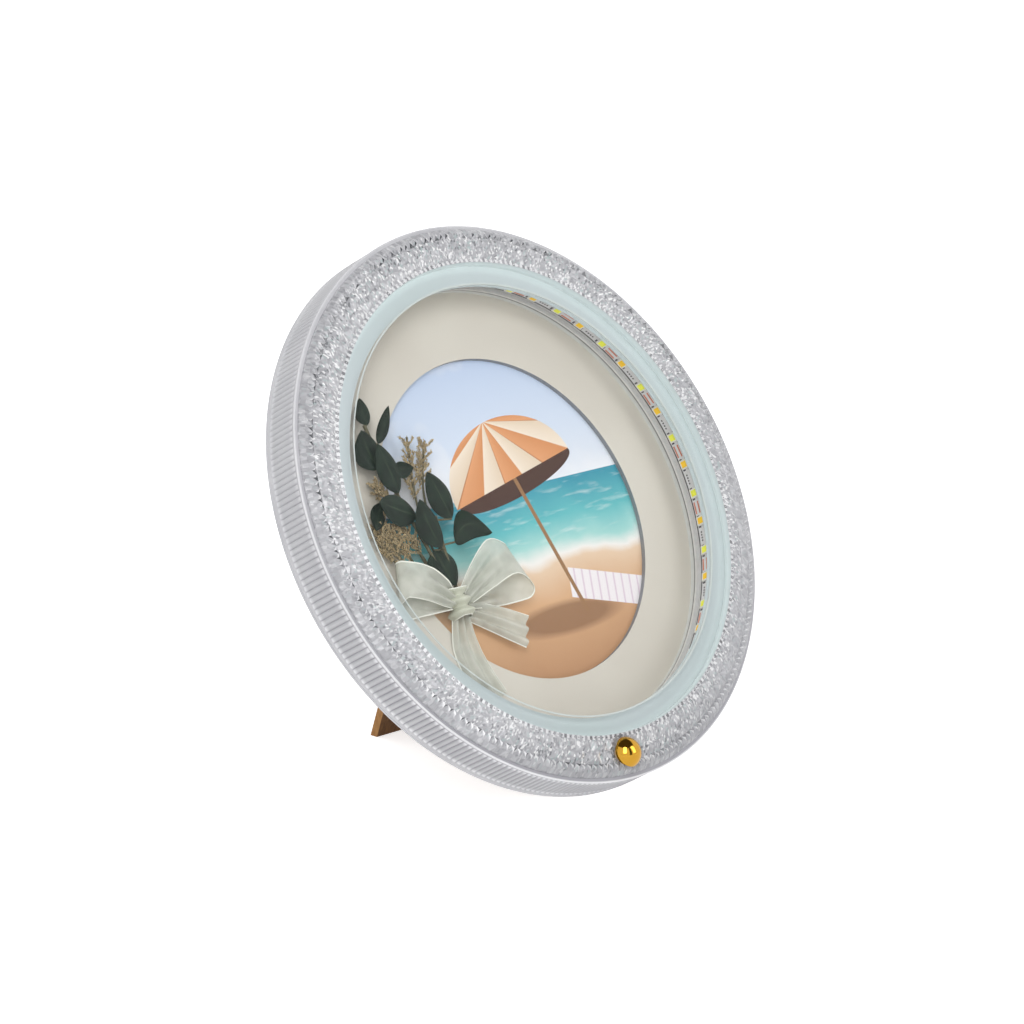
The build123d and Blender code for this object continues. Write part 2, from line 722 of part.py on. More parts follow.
def eucalyptus_sprig_long():
    stem = ((-1.0, 3.8), (-3.1, 15.7), (-6.2, 28.7), (-8.2, 40.7), (-8.8, 51.2))
    leaves = (
        (-8.8, 50.9, -9.0, 58.7, 4.0, 1.0),
        (-8.5, 45.7, 0.4, 54.7, 4.6, 2.0),
        (-7.9, 38.7, -12.6, 50.2, 7.0, 1.6),
        (-6.8, 31.7, -4.2, 45.2, 6.4, 2.6),
        (-6.1, 28.3, -17.1, 29.3, 9.0, 2.4),
        (-5.3, 24.7, -17.6, 22.7, 5.0, 0.6),
    )
    return sprig(stem, leaves)


def eucalyptus_sprig_short():
    stem = ((1.1, 3.8), (1.8, 14.7), (3.2, 23.7))
    leaves = (
        (3.0, 23.1, 5.0, 36.2, 6.6, 2.0),
        (1.9, 15.7, -1.2, 28.5, 6.2, 2.8),
        (1.7, 13.7, 17.4, 20.2, 8.0, 3.0),
        (1.4, 9.2, -6.0, 15.1, 6.6, 3.6),
    )
    return sprig(stem, leaves)


def grass_spike(foot, base, tip):
    """One dried seed head on its stalk, lying just above the mat."""
    span = tip - base
    shoulder, neck = GRASS_BULGE
    outline = Polyline(
        (0, 0),
        (GRASS_R, shoulder * span.length),
        (GRASS_NECK_R, neck * span.length),
        (0, span.length),
        close=True,
    )
    head = revolve(make_face(outline), Axis.Y)
    head = Plane(origin=base, x_dir=Vector(0, 0, 1), z_dir=Vector(0, 0, 1).cross(span)) * head
    stalk_run = base + span * shoulder - foot
    stalk = Plane(origin=foot, z_dir=stalk_run) * extrude(Circle(GRASS_STALK_R), stalk_run.length)
    return head + stalk


def grass_spikes():
    foot_z = -MAT_DEPTH + REST_GAP + GRASS_STALK_R
    runs = (
        (2.0, 3.4, 34.7, 6.6, 45.2),
        (0.4, -0.8, 28.7, 2.4, 41.7),
        (-1.2, -7.0, 17.1, -10.6, 26.2),
        (-2.6, -12.0, 16.7, -16.0, 28.2),
    )
    spikes = []
    for foot_x, base_x, base_y, tip_x, tip_y in runs:
        foot = by_knot(foot_x, KNOT_TALL / 2 + SEAT_GAP, foot_z)
        spikes.append(grass_spike(foot, by_knot(base_x, base_y, GRASS_Z), by_knot(tip_x, tip_y, GRASS_Z)))
    return group(spikes)


# Ribbon bow

def ribbon_knot():
    outline = RectangleRounded(KNOT_WIDE, KNOT_TALL, KNOT_ROUND)
    knot = extrude(outline, KNOT_HIGH)
    knot = fillet(knot.edges().group_by(Axis.Z)[-1], KNOT_ROUND / 2)
    return Pos(KNOT_X, KNOT_Y, -MAT_DEPTH) * knot


def loop_section(long, high, mouth, start):
    """A drop-shaped outline: narrow at the knot, round at the far end."""
    arc_x = long - high / 2
    return make_face([
        Line((start, -mouth / 2), (arc_x, -high / 2)),
        ThreePointArc((arc_x, -high / 2), (long, 0), (arc_x, high / 2)),
        Line((arc_x, high / 2), (start, mouth / 2)),
        Line((start, mouth / 2), (start, -mouth / 2)),
    ])


def ribbon_loop(side, angle, long, end_wide):
    """Ribbon folded back on itself, fanning out from the knot."""
    band = loop_section(long, LOOP_HIGH, LOOP_MOUTH, 0)
    band -= loop_section(long - RIBBON, LOOP_HIGH - 2 * RIBBON, LOOP_MOUTH - 2 * RIBBON, -RIBBON)
    ribbon = extrude(Plane.XZ * band, end_wide / 2, both=True)
    fan = make_face(Polyline((0, -LOOP_MOUTH_WIDE / 2), (long, -end_wide / 2), (long, end_wide / 2),
                             (0, LOOP_MOUTH_WIDE / 2), close=True))
    ribbon &= extrude(fan, LOOP_HIGH, both=True)
    start_x = KNOT_X + side * (KNOT_WIDE / 2 + SEAT_GAP)
    turned = Rot(0, 0, angle) * ribbon
    trim = turned.bounding_box().min.X if side > 0 else turned.bounding_box().max.X
    return Pos(start_x - trim, KNOT_Y, LOOP_Z) * turned


def ribbon_tail(points):
    """A flat tail that lies on the mat, with a slanted end."""
    outline = make_face(Polyline(*points, close=True))
    return Pos(KNOT_X, KNOT_Y, -MAT_DEPTH + SEAT_GAP) * extrude(outline, RIBBON)


def ribbon_tail_right():
    start_x = KNOT_WIDE / 2 + SEAT_GAP
    return ribbon_tail(((start_x, 0.1), (20.8, -6.9), (21.8, -13.3), (18.8, -15.7), (start_x, -4.5)))


def ribbon_tail_long():
    start_y = -KNOT_TALL / 2 - SEAT_GAP
    outer = ((-2.6, start_y), (-5.2, -12.3), (-2.0, -24.7))
    inner = ((5.8, -28.9), (2.8, -15.3), (2.6, start_y))
    return ribbon_tail(outer + inner)


# Assembly

PIECES = {
    "reeded_housing": reeded_housing(),
    "crystal_bezel": crystal_bezel(),
    "window_ring": window_ring(),
    "frosted_film": ring(WINDOW_R + FILM_INSET, RIM_R, WINDOW_THICK, FILM_BACK),
    "front_pane": disc(RIM_R, FILM_BACK, PANE_BACK),
    "lamp_tray": lamp_tray(),
    "tray_screws": tray_screws(),
    "led_tape": ring(TAPE_R, WALL_R, TAPE_FRONT, TAPE_FRONT + TAPE_WIDTH),
    "cool_led_chips": lamp_chips(0),
    "warm_led_chips": lamp_chips(1),
    "tape_resistors": tape_resistors(),
    "tape_leads": tape_leads(),
    "spacer_ring": spacer_ring(),
    "mat_board": mat_board(),
    "photo_print": disc(BOARD_R, MAT_BACK, PRINT_BACK),
    "back_board": back_board(),
    "button_bush": button_bush(),
    "button_dome": button_dome(),
    "button_stem": button_stem(),
    "switch_plunger": switch_plunger(),
    "switch_body": switch_body(),
    "control_board": control_board(),
    "board_chips": board_chips(),
    "charge_inlet": charge_inlet(),
    "battery_cell": battery_cell(),
    "battery_lead": battery_lead(),
    "turn_button_screws": turn_button_screws(),
    "hinge_plate": hinge_plate(),
    "hinge_pin": hinge_pin(),
    "plate_rivets": plate_rivets(),
    "leg_hinge_leaf": leg_hinge_leaf(),
    "leg_rivets": leg_rivets(),
    "stand_leg": stand_leg(),
    "eucalyptus_sprig_long": eucalyptus_sprig_long(),
    "eucalyptus_sprig_short": eucalyptus_sprig_short(),
    "grass_spikes": grass_spikes(),
    "ribbon_knot": ribbon_knot(),
    "ribbon_loop_left": ribbon_loop(-1, LEFT_LOOP_TURN, LEFT_LOOP_LONG, LEFT_LOOP_WIDE),
    "ribbon_loop_right": ribbon_loop(1, RIGHT_LOOP_TURN, RIGHT_LOOP_LONG, RIGHT_LOOP_WIDE),
    "ribbon_tail_right": ribbon_tail_right(),
    "ribbon_tail_long": ribbon_tail_long(),
}
for number, turn_angle in enumerate(TURN_ANGLES, start=1):
    PIECES[f"turn_button_{number}"] = turn_button(turn_angle)

leaned = {name: Rot(LEAN_TURN, 0, 0) * piece for name, piece in PIECES.items()}
box = leaned["reeded_housing"].bounding_box()
for piece in leaned.values():
    box = box.add(piece.bounding_box())
to_floor = Pos(-box.center().X, -box.center().Y, -box.min.Z)

os.makedirs("parts", exist_ok=True)
for name, piece in leaned.items():
    export_step(to_floor * piece, f"parts/{name}.step")

# Places of the joints and mounts, standing on the floor
PLACES = {
    "hinge axis": Vector(0, HINGE_Y, -HINGE_DEPTH),
    "button base": polar(ROW_MIDDLE_R, BUTTON_ANGLE, DOME_BASE_Z),
    "inlet mouth": polar(CHANNEL_MIDDLE_R, INLET_ANGLE, -CASE_DEPTH),
}
for turn_angle in TURN_ANGLES:
    PLACES[f"turn pivot {turn_angle:.0f}"] = polar(TURN_CIRCLE_R, turn_angle, -TURN_FRONT)
standing = {name: (to_floor * Rot(LEAN_TURN, 0, 0) * Pos(*place)).position for name, place in PLACES.items()}
standing["leg foot"] = (to_floor * leaned["stand_leg"]).faces().sort_by(Axis.Z)[0].center()
for name, place in standing.items():
    print(f"{name}: {place.X:.3f} {place.Y:.3f} {place.Z:.3f}")
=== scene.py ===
import math
from functools import partial

import bmesh
import bpy
import numpy as np
from mathutils import Matrix, Vector


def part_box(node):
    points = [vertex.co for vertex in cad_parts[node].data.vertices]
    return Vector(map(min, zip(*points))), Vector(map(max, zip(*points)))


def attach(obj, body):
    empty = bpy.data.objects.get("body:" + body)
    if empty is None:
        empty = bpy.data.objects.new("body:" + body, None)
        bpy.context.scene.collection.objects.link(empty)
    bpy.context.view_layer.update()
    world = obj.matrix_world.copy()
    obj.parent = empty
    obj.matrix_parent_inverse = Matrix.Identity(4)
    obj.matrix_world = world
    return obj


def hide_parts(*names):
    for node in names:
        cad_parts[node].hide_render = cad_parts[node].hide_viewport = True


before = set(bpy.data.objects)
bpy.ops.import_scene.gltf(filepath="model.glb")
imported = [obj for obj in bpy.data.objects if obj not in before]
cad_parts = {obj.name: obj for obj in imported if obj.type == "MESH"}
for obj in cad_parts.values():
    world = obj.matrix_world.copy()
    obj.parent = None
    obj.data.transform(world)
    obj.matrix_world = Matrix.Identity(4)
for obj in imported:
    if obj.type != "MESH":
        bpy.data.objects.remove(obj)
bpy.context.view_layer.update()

# Round lit shadow-box photo frame. Shapes are drawn in the disc's own frame in millimetres: X to the right,
# Y up the face, Z out of the front, with Z = 0 at the window ring's front face. TO_ROW puts them in place.

MM = 0.001
LEAN = math.radians(29.8)
PANE_MIDDLE = -2.5

# Casing and crystal ring
BORE_R = 76.2
HOUSING_R = 77.7
HOUSING_FRONT = -1.9
CASE_BACK = -14.2
REED_COUNT = 300
REED_DEPTH = 0.45
REED_SINK = 0.05
FACET_COUNT = 80
BARS_PER_STEP = 3
LIP_R = 65.6
LIP_Z = 1.3
RING_LEDGE = -0.8
RING_UNDER = -1.88
GEM_MIDDLE_R = 71.2
CROWN_R = 76.5
GEM_ROWS = ((67.0, 1.15), (70.1, 0.95), (73.3, 0.25), (75.4, -0.4), (CROWN_R, -1.5))
# Painted shade and painted highlight that the border's faces take in turn
BORDER_SHADES = (0.65, -0.6)
BEAD_COUNT = 300
BOSS_COUNT = 5
BUTTON_ANGLE = -94.0
WELL_R = 4.6
WELL_Z = 0.4
WELL_BORDER_Z = 0.85
WINDOW_R = 60.0
WINDOW_EDGE = 0.5

# Tape and lamps
TAPE_R = 63.05
TAPE_Z = -5.3
LAMP_PAIRS = 24
LAMP_START = 7.45
PAIR_SPLIT = 0.485

# Mat, spray and bow
MAT_Z = -10.6
KNOT = Vector((-33.4, -20.7, MAT_Z))
STEM_RISE = 2.9
STEM_R = 0.5
LEAF_STALK_R = 0.28
LEAF_THICK = 0.22
LEAF_CURL = 1.2
BRANCHLETS = 22
GRASS_STALK_R = 0.3
BRANCHLET_R = 0.1
SEEDS_PER_LINE = 30
SEED_LONG = 0.44
SEED_LEAN = 1.1
RIBBON_WIDE = 13.0
RIBBON_THICK = 0.1
RIBBON_ROWS = 33
RIBBON_COLUMNS = 41
PLEATS = 2.5
PLEAT_SHARE = 0.95
OUT = Vector((0, 0, 1))


# Placing and joining

def row_matrix():
    """From the disc's frame in millimetres to the row frame in metres."""
    low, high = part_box("front_pane")
    turn = Matrix.Rotation(math.radians(90) - LEAN, 4, "X")
    axis = turn @ OUT
    centre = (low + high) / 2 - axis * PANE_MIDDLE * MM
    return Matrix.Translation(centre) @ turn @ Matrix.Scale(MM, 4)


TO_ROW = row_matrix()
FROM_ROW_TURN = (LEAN - math.radians(90), 0.0, 0.0)
FROM_ROW_SHIFT = -(Matrix.Rotation(FROM_ROW_TURN[0], 4, "X") @ TO_ROW.translation)


def polar(degrees, radius, z):
    turn = math.radians(degrees)
    return Vector((radius * math.cos(turn), radius * math.sin(turn), z))


def mesh_from(name, points, faces):
    mesh = bpy.data.meshes.new(name)
    mesh.from_pydata([tuple(p) for p in points], [], faces)
    mesh.update()
    return mesh


def mesh_of(bm, mesh=None):
    """What a bmesh holds, in the given mesh or a new one."""
    mesh = mesh or bpy.data.meshes.new("shape")
    bm.to_mesh(mesh)
    bm.free()
    return mesh


def tidy_normals(mesh, merge=0.0):
    """Merges doubles and turns the faces of a closed shell outwards."""
    bm = bmesh.new()
    bm.from_mesh(mesh)
    if merge:
        bmesh.ops.remove_doubles(bm, verts=bm.verts, dist=merge)
    bmesh.ops.recalc_face_normals(bm, faces=bm.faces)
    return mesh_of(bm, mesh)


def joined_meshes(meshes):
    bm = bmesh.new()
    for mesh in meshes:
        bm.from_mesh(mesh)
        bpy.data.meshes.remove(mesh)
    return mesh_of(bm)


def with_values(mesh, name, domain, values):
    """A mesh with a named number on each point or face for its material to read."""
    mesh.attributes.new(name, "FLOAT", domain).data.foreach_set("value", np.array(values, np.float32))
    return mesh


def holder(name, data):
    obj = bpy.data.objects.new(name, data)
    bpy.context.collection.objects.link(obj)
    return obj


def baked_mesh(obj):
    """The evaluated mesh of an object with its modifiers, and the object and its source removed."""
    depsgraph = bpy.context.evaluated_depsgraph_get()
    mesh = bpy.data.meshes.new_from_object(obj.evaluated_get(depsgraph))
    source = obj.data
    bpy.data.objects.remove(obj)
    (bpy.data.meshes if isinstance(source, bpy.types.Mesh) else bpy.data.curves).remove(source)
    return mesh


def finished(name, mesh, material, slot, replaces=None, smooth=None):
    """A finished piece: its place in its mesh, its finish, its body and the node it stands for. The slot is
    not used.
    """
    mesh.transform(TO_ROW)
    if smooth is not None:
        mesh.shade_smooth()
        mesh.set_sharp_from_angle(angle=math.radians(smooth))
    obj = holder(name, mesh)
    mesh.materials.clear()
    mesh.materials.append(material)
    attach(obj, "frame")
    if replaces:
        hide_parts(replaces)
    return obj


# Nodes

# Settings that a kind of node has here unless it is given others
USUAL = {"Mix": {"data_type": "RGBA"}, "Math": {"operation": "MULTIPLY"}}


def add(tree, kind, inputs=(), stops=(), **named):
    """One node, its kind given with its operation. Named inputs have a capital, other names are settings.
    An input is a value, a hex colour, a socket or a node, which stands for its first live output."""
    kind, _, operation = kind.partition(" ")
    made = tree.nodes.new(kind if "Node" in kind else "ShaderNode" + kind)
    inputs = dict(inputs if isinstance(inputs, dict) else enumerate(inputs))
    settings = {**USUAL.get(kind, {}), **({"operation": operation} if operation else {})}
    for name, value in named.items():
        if name[0].isupper():
            inputs[name.replace("_", " ")] = value
        else:
            settings[name] = value
    for name, value in settings.items():
        setattr(made, name, value)
    if stops:
        ramp = made.color_ramp
        while len(ramp.elements) < len(stops):
            ramp.elements.new(0.5)
        for element, (place, colour, *alpha) in zip(ramp.elements, stops):
            element.position = place
            element.color = tint(colour, *alpha) if isinstance(colour, str) else colour
    for key, value in inputs.items():
        if isinstance(value, bpy.types.Node):
            value = next(socket for socket in value.outputs if socket.enabled)
        if isinstance(value, bpy.types.NodeSocket):
            tree.links.new(value, made.inputs[key])
        else:
            made.inputs[key].default_value = tint(value) if str(value).startswith("#") else value
    return made


def tint(code, alpha=1.0):
    """An sRGB hex colour as linear red, green, blue and alpha."""
    values = [int(code[i:i + 2], 16) / 255 for i in (1, 3, 5)]
    linear = [v / 12.92 if v <= 0.04045 else ((v + 0.055) / 1.055) ** 2.4 for v in values]
    return (*linear, alpha)


def per_mm(size):
    """A noise or wave scale whose pattern repeats about every size millimetres."""
    return 1.0 / (size * MM)


def node_group(name, inputs):
    """A geometry tree with named inputs, the function that adds a node to it, and its input sockets."""
    tree = bpy.data.node_groups.new(name, "GeometryNodeTree")
    for label, kind in {"Geometry": "Geometry", **inputs, "Finish": "Material"}.items():
        tree.interface.new_socket(label, in_out="INPUT", socket_type="NodeSocket" + kind)
    tree.interface.new_socket("Geometry", in_out="OUTPUT", socket_type="NodeSocketGeometry")
    return tree, partial(add, tree), add(tree, "NodeGroupInput").outputs


def with_output(tree, given, geometry):
    """The tree with its geometry dressed and given out."""
    dressed = add(tree, "GeometryNodeSetMaterial", [geometry], Material=given["Finish"])
    add(tree, "NodeGroupOutput", [dressed])
    return tree


def grown(obj, tree, values):
    """The plain mesh that a geometry tree makes from an object with its inputs set."""
    modifier = obj.modifiers.new("grown", "NODES")
    modifier.node_group = tree
    for item in tree.interface.items_tree:
        if item.in_out == "INPUT" and item.name in values:
            modifier[item.identifier] = values[item.name]
    return baked_mesh(obj)


# Copies round the ring

def round_tree():
    """Copies a shape evenly round the disc's axis and joins the copies where they meet."""
    tree, node, given = node_group("copies_round_the_ring", {
        "Count": "Int", "First angle": "Float", "Join distance": "Float", "Tone seed": "Int"})
    places = node("GeometryNodeMeshLine", Count=given["Count"], Offset=(0, 0, 0))
    step = node("Math DIVIDE", [math.tau, given["Count"]])
    turned = node("Math MULTIPLY_ADD", [node("GeometryNodeInputIndex"), step, given["First angle"]])
    rotation = node("FunctionNodeEulerToRotation", [node("CombineXYZ", Z=turned)])
    copies = node("GeometryNodeInstanceOnPoints", Points=places, Instance=given["Geometry"],
                  Rotation=rotation)
    real = node("GeometryNodeRealizeInstances", [copies])
    joined = node("GeometryNodeMergeByDistance", [real], Distance=given["Join distance"])
    tone = node("FunctionNodeRandomValue", Seed=given["Tone seed"], data_type="FLOAT")
    toned = node("GeometryNodeStoreNamedAttribute", Geometry=joined, Name="tone", Value=tone,
                 data_type="FLOAT", domain="FACE")
    return with_output(tree, given, toned)


ROUND_TREE = round_tree()


def round_copies(mesh, count, material, first=0.0, join=0.0, seed=1):
    """A plain mesh with count copies of a shape round the disc's axis."""
    return grown(holder("round_source", mesh), ROUND_TREE, {
        "Count": count, "First angle": math.radians(first), "Join distance": join, "Tone seed": seed,
        "Finish": material})


def strip_sector(columns):
    """Quads between neighbouring columns of points. Each column is a closed profile."""
    points = [p for column in columns for p in column]
    count = len(columns[0])
    faces = []
    for i in range(len(columns) - 1):
        for j in range(count):
            k = (j + 1) % count
            faces.append((i * count + j, i * count + k, (i + 1) * count + k, (i + 1) * count + j))
    return mesh_from("sector", points, faces)


def block(x, y, z, wide_x, wide_y, wide_z, bevel):
    """A box with softened edges, given by its middle and its widths."""
    bm = bmesh.new()
    bmesh.ops.create_cube(bm, size=1.0)
    for v in bm.verts:
        v.co = Vector((x + v.co.x * wide_x, y + v.co.y * wide_y, z + v.co.z * wide_z))
    bmesh.ops.bevel(bm, geom=bm.edges, offset=bevel, segments=2, affect="EDGES", profile=0.5)
    return mesh_of(bm)


# Materials

def new_material(name):
    """An empty material and the function that adds a node to it."""
    material = bpy.data.materials.new(name)
    material.use_nodes = True
    material.node_tree.nodes.clear()
    return material, partial(add, material.node_tree)


def shaded(material, **inputs):
    """The material with its shader, whose inputs are values or nodes."""
    tree = material.node_tree
    add(tree, "OutputMaterial", [add(tree, "BsdfPrincipled", **inputs)])
    return material


def on_disc(node):
    """Object coordinates from the disc's middle: X and Y lie on the disc, Z points out of its front."""
    return node("Mapping", Vector=node("TexCoord").outputs["Object"], Rotation=FROM_ROW_TURN,
                Location=FROM_ROW_SHIFT)


def across_face(node, parts):
    """The place on the disc without its depth, and the distance from the disc's axis."""
    flat = node("CombineXYZ", [parts["X"], parts["Y"]])
    return flat, node("VectorMath LENGTH", [flat])


def from_midline(node, uv):
    """How far a point of a leaf or ribbon lies from its midline, as a share of the width."""
    aside = node("Math SUBTRACT", [node("SeparateXYZ", [uv]).outputs["Y"], 0.5])
    return node("Math ABSOLUTE", [aside])


def moulded_styrene():
    """Clear moulded polystyrene: pale ridges, painted shade in the valleys that grows towards the foot,
    painted highlights on the tips and edges.
    """
    material, node = new_material("moulded_clear_polystyrene")
    valley = node("Attribute", attribute_name="valley").outputs["Fac"]
    glint = node("Attribute", attribute_name="glint").outputs["Fac"]
    place = on_disc(node)
    rise = node("SeparateXYZ", [place]).outputs["Y"]
    cloud = node("TexNoise", Vector=place, Scale=per_mm(14), Detail=2.0)
    skin = node("ValToRGB", [cloud], [(0.3, "#C6C6CA"), (0.7, "#D1D1D4")])
    # Painted shade in the reeds' valleys, greyer towards the foot
    reed_foot_shade = node("MapRange", [rise, -50 * MM, 55 * MM, 1.0, 0.15])
    valley_shading = node("Math", [valley, reed_foot_shade])
    shaded_valleys = node("Mix", {0: valley_shading, 6: skin, 7: "#9C9BA1"})
    # Painted highlights on the reeds' tips and the casing's edges, fading towards the top
    fading = node("MapRange", [rise, -40 * MM, 50 * MM, 1.0, 0.3])
    shine = node("Math", [glint, fading])
    lit = node("Mix", {0: shine, 6: shaded_valleys, 7: "#F8F8FB"})
    return shaded(material, Base_Color=lit, Roughness=0.25, IOR=1.58, Transmission_Weight=0.1,
                  Specular_IOR_Level=0.3)


def cut_crystal():
    """Clear polystyrene cut like crystal: pale lilac grey, with small white, dark and aqua sparkles painted
    on for the facets' reflections.
    """
    material, node = new_material("cut_clear_polystyrene")
    parts = node("SeparateXYZ", [on_disc(node)]).outputs
    flat, radius = across_face(node, parts)

    # Painted sparkles for the facets' reflections, as slanted strokes on the unrolled ring, darker towards
    # the crown
    angle = node("Math ARCTAN2", [parts["Y"], parts["X"]])
    along = node("Math", [angle, GEM_MIDDLE_R * MM])
    slanted = node("Math MULTIPLY_ADD", [radius, 0.3, along])
    unrolled = node("CombineXYZ", [slanted, radius])
    strokes = node("Mapping", Vector=unrolled, Scale=(per_mm(0.45), per_mm(0.72), 1.0))
    sparkle = node("TexVoronoi", Vector=strokes, Scale=1.0, voronoi_dimensions="2D")
    chance = node("SeparateColor", [sparkle.outputs["Color"]])
    darker = node("MapRange", [radius, 69 * MM, 75 * MM, 0.04, -0.07])
    drawn = node("Math ADD", [chance, darker])
    sparkle_colour = node("ValToRGB", [drawn], [
        (0.0, "#54585C", 0.75), (0.06, "#85898C", 0.55), (0.15, "#A9C4C1", 0.5), (0.23, "#C4C4C8", 0.0),
        (0.76, "#E4E4E8", 0.55), (0.88, "#FFFFFF", 0.9)])
    sparkle_colour.color_ramp.interpolation = "CONSTANT"

    # Where they show: row by row, calmer on the outer rows at the lower right, and on the left
    band = node("MapRange", [radius, LIP_R * MM, CROWN_R * MM])
    busy = node("ValToRGB", [band], [(place, (share, share, share, 1)) for place, share in (
        (0.08, 0.1), (0.13, 0.7), (0.36, 0.65), (0.43, 0.85), (0.68, 0.85), (0.78, 0.6), (0.9, 0.35))])
    rightward = node("VectorMath DOT_PRODUCT", [flat, (0.85, -0.53, 0.0)])
    calm = node("MapRange", [rightward, 42 * MM, 66 * MM, 0.0, 0.7])
    outer = node("MapRange", [radius, 68.8 * MM, 70.4 * MM])
    quiet = node("Math", [calm, outer])
    lively = node("Math SUBTRACT", [1.0, quiet])
    leftward = node("VectorMath DOT_PRODUCT", [flat, (-0.95, -0.3, 0.0)])
    eased = node("MapRange", [leftward, 44 * MM, 64 * MM, 1.0, 0.65])
    strength = sparkle_colour.outputs["Alpha"]
    for share in (busy, lively, eased):
        strength = node("Math", [strength, share])

    # Facets in several greys, with the painted shade and painted highlights that the shapes carry on their
    # flanks
    tone = node("Attribute", attribute_name="tone").outputs["Fac"]
    facet = node("ValToRGB", [tone], [
        (0.0, "#A4A4A8"), (0.35, "#AEAEB2"), (0.7, "#B5B5B9"), (1.0, "#C2C2C5")])
    shade = node("Attribute", attribute_name="shade").outputs["Fac"]
    some = node("MapRange", {0: tone, 1: 0.35, 2: 0.95, 4: lively})
    dark = node("Math", [shade, some])
    bright = node("MapRange", [shade, 0.0, -1.0])
    cut = facet
    for share, colour in ((strength, sparkle_colour), (dark, "#46484C"), (bright, "#F4F4F6")):
        cut = node("Mix", {0: share, 6: cut, 7: colour})

    # Painted shade at the foot, painted light on the left side, and the plain wall that faces the window,
    # painted paler at its foot
    crystal_foot_shade = node("MapRange", [parts["Y"], -73 * MM, -54 * MM, 0.86, 1.0])
    crystal_left_light = node("MapRange", [leftward, 44 * MM, 64 * MM, 1.0, 1.09])
    light = node("Math", [crystal_foot_shade, crystal_left_light])
    footed = node("Mix", {0: 1.0, 6: cut, 7: light}, blend_type="MULTIPLY")
    inside = node("MapRange", [radius, 65.9 * MM, 66.0 * MM, 1.0, 0.0])
    height = node("MapRange", [parts["Z"], RING_LEDGE * MM, LIP_Z * MM])
    wall = node("ValToRGB", [height], [(0.0, "#E9F5F5"), (0.45, "#DEEAEA"), (1.0, "#CBD6D7")])
    walled = node("Mix", {0: inside, 6: footed, 7: wall})
    return shaded(material, Base_Color=walled, Roughness=0.12, IOR=1.58, Transmission_Weight=0.1,
                  Specular_IOR_Level=0.4)


def etched_film():
    """Frosted diffuser film: even pale aqua with a barely seen drift, painted a little paler by the ring's
    wall, where the wall shades it.
    """
    material, node = new_material("frosted_diffuser_film")
    place = on_disc(node)
    drift = node("TexNoise", Vector=place, Scale=per_mm(60), Detail=1.0)
    colour = node("ValToRGB", [drift], [(0.3, "#BECBCB"), (0.7, "#C3CCCF")])
    _, radius = across_face(node, node("SeparateXYZ", [place]).outputs)
    # Painted light near the ring's wall, against the shade that the wall casts
    rim = node("MapRange", [radius, 63.6 * MM, 65.9 * MM])
    paler = node("Mix", {0: rim, 6: colour, 7: "#D9E6E6"})
    return shaded(material, Base_Color=paler, Roughness=0.7, IOR=1.5)


def depth_bands(name, roughness, stops, front, back):
    """A wall whose colour changes with depth behind the front: pale painted light on faces and edges, dark
    painted shade in gaps and recesses.
    """
    material, node = new_material(name)
    place = on_disc(node)
    height = node("SeparateXYZ", [place]).outputs["Z"]
    depth = node("MapRange", [height, front * MM, back * MM])
    bands = node("ValToRGB", [depth], stops)
    mottle = node("TexNoise", Vector=place, Scale=per_mm(1.5), Detail=2.0)
    level = node("MapRange", {0: mottle, 3: 0.9, 4: 1.1})
    toned = node("Mix", {0: 1.0, 6: bands, 7: level}, blend_type="MULTIPLY")
    return shaded(material, Base_Color=toned, Roughness=roughness, IOR=1.49)


def plain(name, code, roughness, metallic=0.0, mottle=0.06, grain=3.0, bump=0.0, **more):
    """A moulded, coated or plated surface with a little mottle in its colour and skin."""
    material, node = new_material(name)
    noise = node("TexNoise", Vector=on_disc(node), Scale=per_mm(grain), Detail=3.0)
    dark, light = [(*(min(1.0, value * share) for value in tint(code)[:3]), 1.0)
                   for share in (1 - mottle, 1 + mottle)]
    colour = node("ValToRGB", [noise], [(0.3, dark), (0.7, light)])
    rough = node("MapRange", {0: noise, 3: roughness * 0.85, 4: roughness * 1.15})
    if bump:
        more["Normal"] = node("Bump", Height=noise, Strength=bump, Distance=0.1 * MM)
    return shaded(material, Base_Color=colour, Roughness=rough, Metallic=metallic, **more)


def clear_acrylic(name, code, alpha, roughness=0.04):
    """Cast acrylic sheet: almost unseen but for its glossy skin, a faint drifting cast and wiping marks."""
    return plain(name, code, roughness, mottle=0.04, grain=8.0, IOR=1.49, Alpha=alpha)


def phosphor(name, code):
    """A lamp's phosphor under clear resin: speckled, with a weak glow of its own colour that is painted
    light, lifting it in the shade.
    """
    return plain(name, code, 0.35, mottle=0.1, grain=0.8, Emission_Color=code, Emission_Strength=0.14)


def mat_card():
    """Ivory mat board: a soft felt face, and painted shade in grey on the cut edge of the opening."""
    material, node = new_material("ivory_mat_board")
    place = on_disc(node)
    fibre = node("TexNoise", Vector=place, Scale=per_mm(0.5), Detail=4.0)
    cloud = node("TexNoise", Vector=place, Scale=per_mm(30), Detail=1.0)
    mixed = node("Mix", {0: 0.35, 2: cloud, 3: fibre}, data_type="FLOAT")
    face = node("ValToRGB", [mixed], [(0.35, "#D2CDC2"), (0.65, "#DAD6CB")])
    turned = node("Mapping", Vector=node("TexCoord").outputs["Normal"], Rotation=FROM_ROW_TURN)
    facing = node("Math ABSOLUTE", [node("SeparateXYZ", [turned]).outputs["Z"]])
    # The cut edge is painted grey for the shade on it
    cut = node("Mix", {0: facing, 6: "#8B8D90", 7: face})
    raised = node("Bump", Height=fibre, Strength=0.15, Distance=0.05 * MM)
    return shaded(material, Base_Color=cut, Roughness=0.85, IOR=1.45, Normal=raised)


